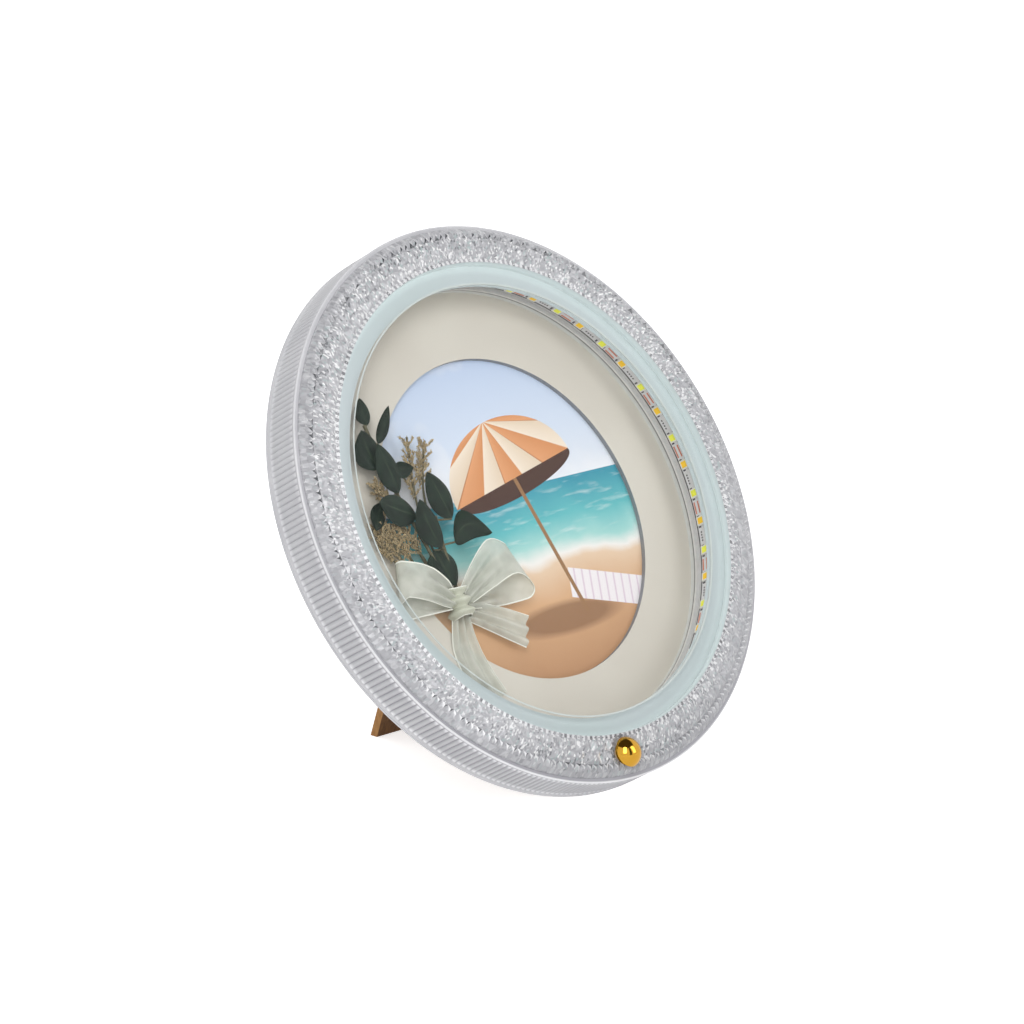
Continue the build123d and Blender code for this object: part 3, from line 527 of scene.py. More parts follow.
def hardboard():
    """Brown hardboard: a dark smooth face with short fibres, and a tan sawn edge; the gap between the two is
    partly painted light and shade.
    """
    material, node = new_material("brown_hardboard")
    place = node("TexCoord").outputs
    stretched = node("Mapping", Vector=place["Object"], Scale=(1.0, 1.0, 0.25))
    fibre = node("TexNoise", Vector=stretched, Scale=per_mm(0.7), Detail=5.0)
    face = node("ValToRGB", [fibre], [(0.3, "#6A4A2A"), (0.7, "#8B6339")])
    edge = node("ValToRGB", [fibre], [(0.3, "#AD7A42"), (0.7, "#CA965A")])
    side = node("Math ABSOLUTE", [node("SeparateXYZ", [place["Normal"]]).outputs["X"]])
    sawn = node("Math GREATER_THAN", [side, 0.5])
    # Face and sawn edge in two browns, partly their own colours and partly painted light and shade
    colour = node("Mix", {0: sawn, 6: face, 7: edge})
    raised = node("Bump", Height=fibre, Strength=0.3, Distance=0.1 * MM)
    return shaded(material, Base_Color=colour, Roughness=0.6, IOR=1.5, Normal=raised)


def seaside_print():
    """Satin photo paper with a plain beach view: sky, turquoise sea, sand, a striped parasol, a towel."""
    material, node = new_material("satin_photo_paper")
    place = on_disc(node)
    rise = node("SeparateXYZ", [place]).outputs["Y"]
    foot, top, horizon = -47 * MM, 45 * MM, 6 * MM
    parasol_lean = 0.2

    def patch(x, y, wide, high, turn=0.0, square=False, soft=False):
        """Where a point lies over an oval or square patch, with 1 at its edge, and the patch's mask."""
        spot = node("Mapping", Vector=place, Location=(x * MM, y * MM, 0), Rotation=(0, 0, turn),
                    Scale=(wide * MM, high * MM, 1), vector_type="TEXTURE")
        if square:
            spans = node("SeparateXYZ", [node("VectorMath ABSOLUTE", [spot])]).outputs
            reach = node("Math MAXIMUM", [spans["X"], spans["Y"]])
        else:
            reach = node("VectorMath LENGTH", [spot])
        if soft:
            return spot, node("MapRange", [reach, 0.7, 1.1, 0.7, 0.0])
        return spot, node("Math LESS_THAN", [reach, 1.0])

    # Sky with clouds over sea and sand with a wavy shore
    swell = node("TexNoise", Vector=place, Scale=per_mm(30), Detail=4.0)
    nudge = node("Math MULTIPLY_ADD", [swell, 16 * MM, -8 * MM])
    wavy = node("Math ADD", [rise, nudge])
    sky = node("ValToRGB", [node("MapRange", [rise, foot, top])], [
        (0.58, "#E3E9F1"), (0.75, "#D3DFF0"), (1.0, "#BFD0EA")])
    shore = node("MapRange", [wavy, foot, top])
    ground = node("ValToRGB", [shore], [
        (0.0, "#B98C66"), (0.22, "#D6AC84"), (0.33, "#E6CBAE"), (0.36, "#F3F1EC"), (0.4, "#A5D8D3"),
        (0.47, "#67BDC1"), (0.58, "#3E96AB")])
    streaks = node("Mapping", Vector=place, Scale=(1.0, 6.0, 1.0))
    ripple = node("TexNoise", Vector=streaks, Scale=per_mm(9), Detail=3.0)
    glitter = node("MapRange", [ripple, 0.55, 0.75, 0.0, 0.4])
    wet = node("MapRange", [shore, 0.36, 0.42])
    lit_sea = node("Math", [glitter, wet])
    rippled = node("Mix", {0: lit_sea, 6: ground, 7: "#EAF2F0"})
    cloud = node("TexNoise", Vector=place, Scale=per_mm(26), Detail=5.0)
    puff = node("MapRange", [cloud, 0.5, 0.7])
    clouded = node("Mix", {0: puff, 6: sky, 7: "#F4F5F8"})
    above = node("Math GREATER_THAN", [rise, horizon])
    view = node("Mix", {0: above, 6: rippled, 7: clouded})

    # Parasol's shadow, towel, parasol's hollow, pole and canopy, laid over one another
    _, shadow = patch(6, -31, 21, 4.5, soft=True)
    spot, towel = patch(25, -26, 14, 4.2, -0.28, square=True)
    weave = node("Math", [node("SeparateXYZ", [spot]).outputs["X"], 5.0])
    terry = node("ValToRGB", [node("Math FRACT", [weave])], [
        (0.0, "#F1ECEE"), (0.6, "#F1ECEE"), (0.7, "#D8C3D3"), (0.9, "#F1ECEE")])
    _, hollow = patch(6.4, 8.2, 23.5, 4.6, parasol_lean)
    _, pole = patch(10, -10.5, 0.65, 21, parasol_lean, square=True)
    spot, within = patch(5.8, 8.6, 24, 17, parasol_lean)
    parts = node("SeparateXYZ", [spot]).outputs
    upper = node("Math GREATER_THAN", [parts["Y"], 0.0])
    canopy = node("Math", [within, upper])
    crown = node("Math SUBTRACT", [1.02, parts["Y"]])
    spoke = node("Math ARCTAN2", [parts["X"], crown])
    gores = node("Math MULTIPLY_ADD", [spoke, 1.6, 4.25])
    canvas = node("ValToRGB", [node("Math FRACT", [gores])], [
        (0.0, "#B5754A"), (0.04, "#E2A273"), (0.48, "#D6925F"), (0.5, "#F3E5D2"), (0.97, "#E5D2BA")])
    for mask, colour in ((shadow, "#7A5539"), (towel, terry), (hollow, "#4A3026"), (pole, "#9A7450"),
                         (canopy, canvas)):
        view = node("Mix", {0: mask, 6: view, 7: colour})
    return shaded(material, Base_Color=view, Roughness=0.45, IOR=1.5, Specular_IOR_Level=0.3)


def leaf_skin():
    """Preserved eucalyptus leaf: waxy dark green with a paler midrib and cloudy bloom."""
    material, node = new_material("preserved_eucalyptus_leaf")
    place = node("TexCoord").outputs["Object"]
    bloom = node("TexNoise", Vector=place, Scale=per_mm(3.5), Detail=4.0)
    skin = node("ValToRGB", [bloom], [(0.3, "#161F18"), (0.55, "#1D2A21"), (0.75, "#27362A")])
    away = from_midline(node, node("UVMap", uv_map="leaf"))
    rib = node("MapRange", [away, 0.01, 0.04, 0.35, 0.0])
    colour = node("Mix", {0: rib, 6: skin, 7: "#4A5A45"})
    return shaded(material, Base_Color=colour, Roughness=0.45, IOR=1.45, Specular_IOR_Level=0.18)


def organza(name, alpha, weave):
    """Sheer organza ribbon: crossed threads, close bright selvages, what lies behind it showing faintly."""
    material, node = new_material(name)
    uv = node("UVMap", uv_map="ribbon")
    # The real threads are too fine to show, so they are drawn coarser.
    threads = node("TexWave", Vector=uv, Scale=40.0, Distortion=1.5).outputs["Fac"]
    place = node("TexCoord").outputs["Object"]
    cloud = node("TexNoise", Vector=place, Scale=per_mm(6), Detail=2.0)
    mixed = node("Mix", {0: 0.3, 2: cloud, 3: threads}, data_type="FLOAT")
    cloth = node("ValToRGB", [mixed], list(zip((0.3, 0.5, 0.7), weave)))
    selvage = node("MapRange", [from_midline(node, uv), 0.462, 0.475])
    colour = node("Mix", {0: selvage, 6: cloth, 7: "#EEF0E6"})
    veil = node("MapRange", [cloud, 0.3, 0.7, alpha - 0.08, alpha + 0.08])
    dense = node("Math MAXIMUM", [veil, selvage])
    return shaded(material, Base_Color=colour, Alpha=dense, Roughness=0.45, IOR=1.45, Sheen_Weight=0.15,
                  Specular_IOR_Level=0.4)


# Finishes of the pieces that are shaped here
CLEAR_MOULDING = moulded_styrene()
CRYSTAL = cut_crystal()
WINDOW_ACRYLIC = clear_acrylic("cast_acrylic_window_ring", "#C9D2D2", 0.05)
# A pale, nearly opaque strip on the window ring's inner edge: a painted highlight
EDGE_HIGHLIGHT = clear_acrylic("pale_acrylic_edge_highlight", "#CDD5D3", 0.85, 0.5)
FILM = etched_film()
COOL_PHOSPHOR = phosphor("cool_lamp_phosphor", "#ECF04C")
WARM_PHOSPHOR = phosphor("warm_lamp_phosphor", "#FFCB2A")
PACKAGE = plain("white_lamp_package", "#F2F1EA", 0.4, mottle=0.04, grain=1.0)
COPPER = plain("red_lacquered_copper_trace", "#D5836A", 0.4, mottle=0.1, grain=0.8)
SOLDER = plain("dull_solder", "#5A5560", 0.45, metallic=0.3, mottle=0.15, grain=0.5)
LEAF = leaf_skin()
STALK = plain("dried_stalk", "#5E5A44", 0.7, mottle=0.2, grain=0.8, bump=0.3)
SEED = plain("dried_grass_seed", "#B9A784", 0.75, mottle=0.4, grain=0.8, bump=0.4)
RIBBON = organza("sheer_organza_ribbon", 0.55, ("#D2D5C8", "#DEE0D5", "#E8E9DF"))
# The knot's cloth is darker all over, for its printed letters and for painted shade in its gathers
KNOTTED_RIBBON = organza("knotted_organza_ribbon", 0.9, ("#BFC2AE", "#CED1BF", "#DDDFCF"))

# Finishes of the pieces that keep their modelled shape
KEPT_SHAPES = (
    (clear_acrylic("cast_acrylic_pane", "#9FA6A6", 0.02), "front_pane"),
    # The spacer: a pale front face, a dark band of painted shade on its inner wall and a pale edge line
    (depth_bands("cast_acrylic_spacer", 0.25, [
        (0.0, "#DEDEDC"), (0.2, "#DEDEDC"), (0.28, "#808082"), (0.4, "#8A8A88"), (0.48, "#CED0CE"),
        (1.0, "#D3D6D4")], -8.4, MAT_Z), "spacer_ring"),
    (plain("white_abs", "#D6D5D3", 0.4, mottle=0.02, grain=6.0), "lamp_tray"),
    # The tape: greyer at its front edge, and a dark line of painted shade at its foot, where it meets the gap
    # to the spacer
    (depth_bands("white_coated_polyimide", 0.45, [
        (0.0, "#A5A4A8"), (0.06, "#E3E3E5"), (0.88, "#E3E3E5"), (0.93, "#403E42")], -3.0, -7.6), "led_tape"),
    (plain("black_resistor", "#34323A", 0.5, mottle=0.1, grain=0.6), "tape_resistors"),
    (mat_card(), "mat_board"),
    (seaside_print(), "photo_print"),
    (hardboard(), "back_board stand_leg"),
    (plain("polished_gold_plate", "#D6A23C", 0.1, metallic=1.0, mottle=0.03, grain=2.0),
     "button_bush button_dome"),
    (plain("zinc_plated_steel", "#A9AAAC", 0.32, metallic=1.0, mottle=0.08, grain=0.8),
     "tray_screws button_stem charge_inlet hinge_plate hinge_pin plate_rivets leg_hinge_leaf leg_rivets "
     "turn_button_screws turn_button_1 turn_button_2 turn_button_3 turn_button_4"),
    (plain("black_abs", "#26262A", 0.5, mottle=0.08, grain=0.6), "switch_plunger switch_body board_chips"),
    (plain("white_solder_mask", "#D5D8D2", 0.35, mottle=0.03, grain=1.5), "control_board"),
    (plain("foil_cell_pouch", "#B9BDC2", 0.35, metallic=0.6, mottle=0.05, grain=1.2), "battery_cell"),
    (plain("white_silicone_lead", "#D4D4D0", 0.5, mottle=0.03, grain=1.0), "tape_leads battery_lead"))
for finish, names in KEPT_SHAPES:
    for name in names.split():
        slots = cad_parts[name].data.materials
        slots.clear()
        slots.append(finish)


# Reeded housing

def reeded_housing():
    """One reed's slice of the casing, copied round: ridges with narrow valleys between plain bands."""
    pitch = 360.0 / REED_COUNT
    crest = HOUSING_R - REED_SINK
    groove = HOUSING_R - 0.3
    # Radius, height, share of the reeds' depth, painted glint
    sections = (
        (BORE_R, HOUSING_FRONT, 0, 0), (HOUSING_R - 0.5, HOUSING_FRONT, 0, 0),
        (HOUSING_R - 0.25, HOUSING_FRONT, 0, 0.6), (HOUSING_R, -2.1, 0, 0.8), (HOUSING_R, -2.4, 0, 0),
        (crest, -2.65, 0.4, 0.2), (crest, -2.95, 0.85, 1.0), (crest, -3.6, 1, 0.45), (crest, -4.2, 1, 0),
        (crest, -10.8, 1, 0), (crest, -11.4, 1, 0.45), (crest, -12.0, 0.85, 1.0), (crest, -12.3, 0.4, 0.2),
        (HOUSING_R, -12.5, 0, 0), (HOUSING_R, -13.2, 0, 0.15), (groove, -13.3, 0, 0), (groove, -13.5, 0, 0),
        (HOUSING_R, -13.6, 0, 0.15), (HOUSING_R, CASE_BACK + 0.2, 0, 0), (HOUSING_R - 0.2, CASE_BACK, 0, 0),
        (BORE_R, CASE_BACK, 0, 0))
    columns, valley_shades, painted_glints = [], [], []
    for share in (-1.0, -0.82, -0.55, 0.0, 0.55, 0.82, 1.0):
        bend = abs(share) ** 2.4
        columns.append([polar(share * pitch / 2, radius - REED_DEPTH * bend * dip, z)
                        for radius, z, dip, _ in sections])
        # The front flat and the groove behind the reeds get painted shade too
        valley_shades += [bend * dip if radius > groove + 0.02 else (0.9 if z > -3 else 0.5)
                    for radius, z, dip, _ in sections]
        painted_glints += [glint * (1 - bend) if dip else glint for _, _, dip, glint in sections]
    sector = with_values(strip_sector(columns), "valley", "POINT", valley_shades)
    sector = with_values(sector, "glint", "POINT", painted_glints)
    mesh = tidy_normals(round_copies(sector, REED_COUNT, CLEAR_MOULDING, join=0.002))
    wall = finished("reeded_housing_wall", mesh, CLEAR_MOULDING, "clear_plastic", "reeded_housing", smooth=40)
    wall.visible_shadow = False


# Crystal ring

def gem_cell(inner, outer, apex_z, first):
    """One cut gem between two rings of points: a skirt of kites and triangles, a waist and a flat table."""
    half = 180.0 / FACET_COUNT
    rim = [polar(half * (first + i), *inner) for i in range(3)]
    rim += [polar(half * (first + i), *outer) for i in (2, 1, 0)]
    top = polar(half * (first + 1), (inner[0] + outer[0]) / 2, apex_z)
    waist, table, faces = [], [], []
    for a, b in zip(rim, rim[1:] + rim[:1]):
        waist.append(((a + b) / 2).lerp(top, 0.42) + OUT * 0.12)
        table.append(a.lerp(top, 0.62) + OUT * 0.06)
    for i in range(6):
        k = (i + 1) % 6
        faces += [(i, k, 6 + i), (6 + i, k, 12 + k), (i, 6 + i, 12 + i), (6 + i, 12 + k, 12 + i),
                  (12 + i, 12 + k, 18)]
    return rim + waist + table + [top], faces, [0.0] * len(faces)


def bar_cell(number):
    """One roof-shaped bar across the outer row and the crown, its inner end half in painted shade, half in
    painted highlight.
    """
    step = 360.0 / FACET_COUNT / BARS_PER_STEP
    first = number * step
    middle = first + step / 2
    rows = GEM_ROWS[2:]
    sides = [polar(first + step * k, *row) for k in range(2) for row in rows]
    ridge = [polar(middle, rows[0][0] + 0.75, rows[0][1] + 0.28), polar(middle, rows[1][0], rows[1][1] + 0.3),
             polar(middle, rows[2][0] - 0.25, -1.0)]
    points = sides + ridge + [polar(middle, *rows[2]), ridge[0].lerp(ridge[1], 0.55)]
    faces = [(0, 6, 3), (3, 6, 10), (0, 10, 6), (0, 1, 7, 10), (3, 10, 7, 4), (1, 2, 8, 7), (4, 7, 8, 5),
             (2, 9, 8), (9, 5, 8)]
    return points, faces, [1.0, 1.6, -0.55] + [0.0] * 6


def crystal_sector():
    """One facet step of the ring: two gems half a step apart, three bars and the plain underside."""
    points, faces, shades = [], [], []
    cells = [gem_cell(GEM_ROWS[0], GEM_ROWS[1], 1.5, 0), gem_cell(GEM_ROWS[1], GEM_ROWS[2], 1.25, 1)]
    cells += [bar_cell(number) for number in range(BARS_PER_STEP)]
    for more_points, more_faces, more_shades in cells:
        faces += [tuple(i + len(points) for i in face) for face in more_faces]
        points += more_points
        shades += more_shades
    # From the crown inwards: the spigot in the housing, the rib round the window ring, the lip and the border
    section = [GEM_ROWS[4], (CROWN_R, RING_UNDER), (76.1, RING_UNDER), (76.1, -3.4), (74.7, -3.4),
               (74.7, RING_UNDER), (68.5, RING_UNDER), (68.5, -2.9), (67.3, -2.9), (67.3, RING_LEDGE),
               (LIP_R, RING_LEDGE), (LIP_R, 0.3), (LIP_R + 0.35, LIP_Z), GEM_ROWS[0]]
    step = 360.0 / FACET_COUNT / BARS_PER_STEP / 2
    for k in range(2 * BARS_PER_STEP):
        for low, high in zip(section, section[1:]):
            start = len(points)
            points += [polar(step * k, *low), polar(step * (k + 1), *low), polar(step * (k + 1), *high),
                       polar(step * k, *high)]
            faces.append((start, start + 1, start + 2, start + 3))
            # The border's faces take painted shade and painted highlight in turn
            shades.append(BORDER_SHADES[k % 2] if high == GEM_ROWS[0] else 0.0)
    return with_values(mesh_from("crystal_sector", points, faces), "shade", "FACE", shades)


def bead_shape():
    """A low bead on the ring's inner border, with painted shade on one side and a painted highlight on the
    other.
    """
    half = 0.34 * 360.0 / BEAD_COUNT
    foot = [polar(half * side, radius, LIP_Z - 0.45) for radius, side in
            ((66.05, 0), (66.2, -1), (66.75, -1), (66.9, 0), (66.75, 1), (66.2, 1))]
    points = foot + [polar(0, 66.45, LIP_Z + 0.22)]
    faces = [(i, (i + 1) % 6, 6) for i in range(6)] + [tuple(reversed(range(6)))]
    shades = [2.0, 3.0, 1.0, 0.0, -1.0, -1.0, 0.0]
    return with_values(mesh_from("bead", points, faces), "shade", "FACE", shades)


def screw_boss():
    """A post under the ring that takes a tray screw."""
    bm = bmesh.new()
    bmesh.ops.create_cone(bm, cap_ends=True, segments=20, radius1=2.2, radius2=2.2, depth=11.1,
                          matrix=Matrix.Translation((GEM_MIDDLE_R, 0, -7.45)))
    return mesh_of(bm)


def crystal_ring():
    """The cut ring with a shallow well where the button goes down, its border beads and its screw posts."""
    mesh = tidy_normals(round_copies(crystal_sector(), FACET_COUNT, CRYSTAL, join=0.01, seed=7))
    button = polar(BUTTON_ANGLE, GEM_MIDDLE_R, 0)
    for vertex in mesh.vertices:
        if (vertex.co.xy - button.xy).length < WELL_R:
            border = vertex.co.xy.length < GEM_ROWS[0][0] + 0.1
            vertex.co.z = min(vertex.co.z, WELL_BORDER_Z if border else WELL_Z)
    ring = finished("crystal_cut_ring", mesh, CRYSTAL, "clear_plastic", "crystal_bezel")
    ring.visible_shadow = False
    beads = tidy_normals(round_copies(bead_shape(), BEAD_COUNT, CRYSTAL, seed=3))
    finished("crystal_border_beads", beads, CRYSTAL, "clear_plastic").visible_shadow = False
    bosses = round_copies(screw_boss(), BOSS_COUNT, CLEAR_MOULDING, first=90.0)
    finished("ring_screw_bosses", bosses, CLEAR_MOULDING, "clear_plastic", smooth=40)


# Window ring and film

def ring_mesh(profile, segments=240):
    """A closed profile of radius and height turned round the disc's axis."""
    columns = [[polar(360.0 * i / segments, *spot) for spot in profile] for i in range(segments + 1)]
    return tidy_normals(strip_sector(columns), 0.001)


def window_and_film():
    """The clear window ring with a pale strip on its inner edge as a painted highlight, and the film a hair's
    breadth behind it.
    """
    face_r, flange_r, film_r = 65.5, 67.2, 60.2
    ring = ring_mesh([(WINDOW_R, RING_UNDER), (WINDOW_R, -WINDOW_EDGE), (WINDOW_R + WINDOW_EDGE, 0),
                      (face_r, 0), (face_r, -0.85), (flange_r, -0.85), (flange_r, RING_UNDER)])
    finished("window_ring_clear", ring, WINDOW_ACRYLIC, "clear_acrylic", "window_ring", smooth=30)
    bead = ring_mesh([(WINDOW_R, -WINDOW_EDGE + 0.02), (WINDOW_R + 0.05, -0.05),
                      (WINDOW_R + WINDOW_EDGE + 0.02, 0.01), (WINDOW_R + 0.3, -0.3)])
    finished("window_ring_edge_highlight", bead, EDGE_HIGHLIGHT, "clear_acrylic", smooth=60)
    film = ring_mesh([(film_r, -1.92), (flange_r, -1.92), (flange_r, -2.08), (film_r, -2.08)])
    finished("frosted_film_ring", film, FILM, "frosted_film", "frosted_film", smooth=30)


# Lamps on the tape

def lamp_ring():
    """Lamps in pairs with their solder pads, and the copper traces and test pads printed between them."""
    gap = 360.0 / LAMP_PAIRS

    def all_round(name, shapes, material, first, slot, **more):
        mesh = round_copies(joined_meshes(shapes), LAMP_PAIRS, material, first=first)
        finished(name, mesh, material, slot, **more)

    for name, start, glow in (("cool", LAMP_START, COOL_PHOSPHOR),
                              ("warm", LAMP_START - gap * PAIR_SPLIT, WARM_PHOSPHOR)):
        slot = name + "_lamp"
        package = block(TAPE_R - 0.3, 0, TAPE_Z, 0.6, 2.6, 3.0, 0.12)
        all_round(slot + "_packages", [package], PACKAGE, start, slot, smooth=30,
                  replaces=name + "_led_chips")
        lens = block(TAPE_R - 0.62, 0, TAPE_Z, 0.16, 1.75, 1.85, 0.07)
        all_round(slot + "_phosphor", [lens], glow, start, slot, smooth=30)
        pads = [block(TAPE_R - 0.05, side * 1.5, TAPE_Z + row, 0.14, 0.5, 0.9, 0.02)
                for side in (-1, 1) for row in (-1.05, 1.05)]
        pads += [block(TAPE_R - 0.05, 0, TAPE_Z + 1.62 * side, 0.14, 2.3, 0.2, 0.02) for side in (-1, 1)]
        all_round(slot + "_solder_pads", pads, SOLDER, start, "steel")
    traces = [block(TAPE_R - 0.02, 0, TAPE_Z + row, 0.06, 3.4, 0.5, 0.01) for row in (-1.4, 0.0, 1.4)]
    all_round("tape_copper_traces", traces, COPPER, LAMP_START - gap * PAIR_SPLIT / 2, "tape")
    marks = [block(TAPE_R - 0.02, 1.2 - 0.8 * i, TAPE_Z - 0.9, 0.06, 0.45, 0.5, 0.01) for i in range(4)]
    all_round("tape_test_pads", marks, SOLDER, LAMP_START - gap * (1 + PAIR_SPLIT) / 2, "steel")


# Dried spray

def sheet_mesh(name, points, uvs, columns):
    """A sheet of quads over rows of points, with its own coordinates."""
    faces = []
    for i in range(len(points) // columns - 1):
        for j in range(columns - 1):
            a = i * columns + j
            faces.append((a, a + 1, a + columns + 1, a + columns))
    mesh = mesh_from(name, points, faces)
    layer = mesh.uv_layers.new(name=name)
    for loop in mesh.loops:
        layer.data[loop.index].uv = uvs[loop.vertex_index]
    return mesh


def leaf_mesh(base, tip, wide, bend):
    """A pointed oval leaf, folded along its midrib, curling at the tip and bent sideways by its droop."""
    along = tip - base
    x_axis = along.normalized()
    y_axis = OUT.cross(x_axis).normalized()
    z_axis = x_axis.cross(y_axis)
    rows, columns = 17, 9
    points, uvs = [], []
    for i in range(rows):
        t = i / (rows - 1)
        half = wide / 2 * math.sin(math.pi * t ** 0.85) ** 0.75 if 0 < t < 1 else 0.03
        sway = bend * math.sin(math.pi * t)
        for j in range(columns):
            s = 2 * j / (columns - 1) - 1
            lift = 0.14 * half * abs(s) + LEAF_CURL * (t - 0.3) ** 2 - 0.3 * half * s * s
            points.append(base + along * t + y_axis * (s * half + sway) + z_axis * lift)
            uvs.append((t, j / (columns - 1)))
    return sheet_mesh("leaf", points, uvs, columns)


def thickened(mesh, thick):
    """A thin sheet given its thickness."""
    obj = holder("sheet_source", mesh)
    wall = obj.modifiers.new("wall", "SOLIDIFY")
    wall.thickness = thick
    wall.offset = 0.0
    return baked_mesh(obj)


def curve_through(kind, lines):
    """A curve with one spline along each line of points."""
    curve = bpy.data.curves.new("run", "CURVE")
    curve.dimensions = "3D"
    for points in lines:
        spline = curve.splines.new(kind)
        spline.points.add(len(points) - 1)
        for spot, point in zip(spline.points, points):
            spot.co = (*point, 1.0)
        spline.order_u = 3
        spline.use_endpoint_u = True
    return curve


def tube(points, radius):
    """A round tube along a smooth spline."""
    curve = curve_through("NURBS", [points])
    curve.bevel_depth = radius
    curve.bevel_resolution = 2
    curve.use_fill_caps = True
    return baked_mesh(holder("tube", curve))


def by_knot(x, y, rise):
    return KNOT + Vector((x, y, rise))


# Leaves from the knot: base X and Y, tip X and Y, width, rise of the tip over the stem, sideways bend
LONG_STEM = ((-1.0, 3.8), (-3.1, 15.7), (-6.2, 28.7), (-8.2, 40.7), (-8.8, 51.2))
LONG_LEAVES = (
    (-8.3, 50.9, -8.5, 58.1, 5.2, 1.0, 0.0), (-7.4, 45.4, -0.7, 54.3, 3.4, 2.0, -0.5),
    (-10.0, 38.7, -12.5, 49.6, 9.4, 1.6, 0.6), (-7.0, 31.6, -9.6, 45.0, 7.6, 2.5, -0.4),
    (-4.2, 24.6, -16.8, 30.0, 8.4, 3.1, 0.0), (-13.2, 30.2, -19.2, 23.4, 4.6, 0.7, 0.0),
    (-4.7, 37.6, 1.0, 37.3, 4.6, 0.7, 0.0))
SHORT_STEM = ((1.1, 3.8), (1.8, 14.7), (3.2, 23.7))
SHORT_LEAVES = (
    (7.5, 21.8, 3.5, 35.0, 8.4, 2.1, -0.6), (0.2, 15.1, -3.4, 28.3, 8.4, 3.1, 0.6),
    (5.2, 15.6, 16.8, 15.2, 8.2, 3.1, 3.8), (-1.7, 15.0, 0.3, 4.6, 10.4, 0.6, 0.0))


def sprig(name, node, stem, leaves):
    """A stem with its leaves, each on a short stalk from the nearest point of the stem."""
    line = [by_knot(x, y, STEM_RISE) for x, y in stem]
    blades, stalks = [], [tube(line, STEM_R)]
    for base_x, base_y, tip_x, tip_y, wide, rise, bend in leaves:
        base, tip = by_knot(base_x, base_y, STEM_RISE + 0.4 * rise), by_knot(tip_x, tip_y, STEM_RISE + rise)
        blades.append(thickened(leaf_mesh(base, tip, wide, bend), LEAF_THICK))
        near = min((a.lerp(b, k / 8) for a, b in zip(line, line[1:]) for k in range(9)),
                   key=lambda point: (point - base).length)
        if (near - base).length > STEM_R:
            stalks.append(tube([near, near.lerp(base, 0.5) + OUT * 0.2, base], LEAF_STALK_R))
    finished(name + "_leaves", joined_meshes(blades), LEAF, "leaf", node, smooth=60)
    finished(name + "_stem", joined_meshes(stalks), STALK, "leaf", smooth=60)


# Grass

def seed_tree():
    """Small pointed seeds set round a stalk, leaning towards its tip."""
    tree, node, given = node_group("seeds_on_a_stalk", {
        "Seeds": "Int", "Seed length": "Float", "Lean": "Float", "Random seed": "Int"})
    dots = node("GeometryNodeCurveToPoints", [given["Geometry"]], Count=given["Seeds"], mode="COUNT")
    grain = node("GeometryNodeMeshIcoSphere", Radius=1.0, Subdivisions=1)
    shape = node("GeometryNodeTransform", [grain], Translation=(0, 0, 1.0), Scale=(0.42, 0.3, 1.0))
    spin, lean, size = [
        node("FunctionNodeRandomValue", {2: low, 3: high}, Seed=given["Random seed"], data_type="FLOAT")
        for low, high in ((0.0, math.tau), (0.25, 1.0), (0.6, 1.15))]
    tilt = node("Math", [lean, given["Lean"]])
    local = node("FunctionNodeEulerToRotation", [node("CombineXYZ", X=tilt, Z=spin)])
    turned = node("FunctionNodeRotateRotation", [dots.outputs["Rotation"], local], rotation_space="LOCAL")
    long = node("Math", [size, given["Seed length"]])
    seeds = node("GeometryNodeInstanceOnPoints", Points=dots, Instance=shape, Rotation=turned, Scale=long)
    real = node("GeometryNodeRealizeInstances", [seeds])
    return with_output(tree, given, real)


SEED_TREE = seed_tree()

# Panicles from the knot: foot X, base X and Y, tip X and Y, spread of the branchlets
GRASS_RUNS = ((2.0, 3.2, 32.5, 10.0, 43.8, 3.2), (0.4, -0.4, 29.5, 4.4, 45.8, 2.8),
              (-2.6, -12.4, 13.4, -14.6, 27.2, 4.0), (-1.2, -4.6, 15.2, -9.8, 24.6, 3.8),
              (-2.0, -8.0, 28.6, -12.2, 35.8, 2.6), (-3.0, -15.4, 14.6, -17.4, 25.4, 2.8),
              (-1.8, -9.0, 14.0, -12.2, 23.6, 3.0))


def grass():
    """Dried panicles: a stalk, short branchlets to both sides, and seeds all along them."""
    heads, stalks = [], []
    for number, (foot_x, base_x, base_y, tip_x, tip_y, spread) in enumerate(GRASS_RUNS):
        foot = by_knot(foot_x, 3.6, 0.65)
        base, tip = by_knot(base_x, base_y, 1.35), by_knot(tip_x, tip_y, 2.3)
        axis = (tip - base).normalized()
        side = OUT.cross(axis)
        lines = [[base, base.lerp(tip, 0.5), tip]]
        for k in range(BRANCHLETS):
            start = base.lerp(tip, 0.02 + 0.042 * k)
            hand = 1 if k % 2 else -1
            out = side * (spread * (1 - 0.025 * k) * hand * (0.7 + 0.3 * math.sin(5.1 * k + number)))
            end = start + out + axis * (3.2 - 0.06 * k) + OUT * (1.1 * math.sin(2.3 * k))
            lines.append([start, start.lerp(end, 0.5) + axis * -0.3, end])
        heads.append(grown(holder("seed_line", curve_through("POLY", lines)), SEED_TREE, {
            "Seeds": SEEDS_PER_LINE, "Seed length": SEED_LONG, "Lean": SEED_LEAN, "Random seed": number + 1,
            "Finish": SEED}))
        stalks.append(tube([foot, foot.lerp(base, 0.5), base, tip], GRASS_STALK_R))
        stalks += [tube(line, BRANCHLET_R) for line in lines[1:]]
    finished("grass_seed_heads", joined_meshes(heads), SEED, "grass", "grass_spikes", smooth=60)
    finished("grass_stalks", joined_meshes(stalks), STALK, "grass", smooth=60)


# Ribbon bow

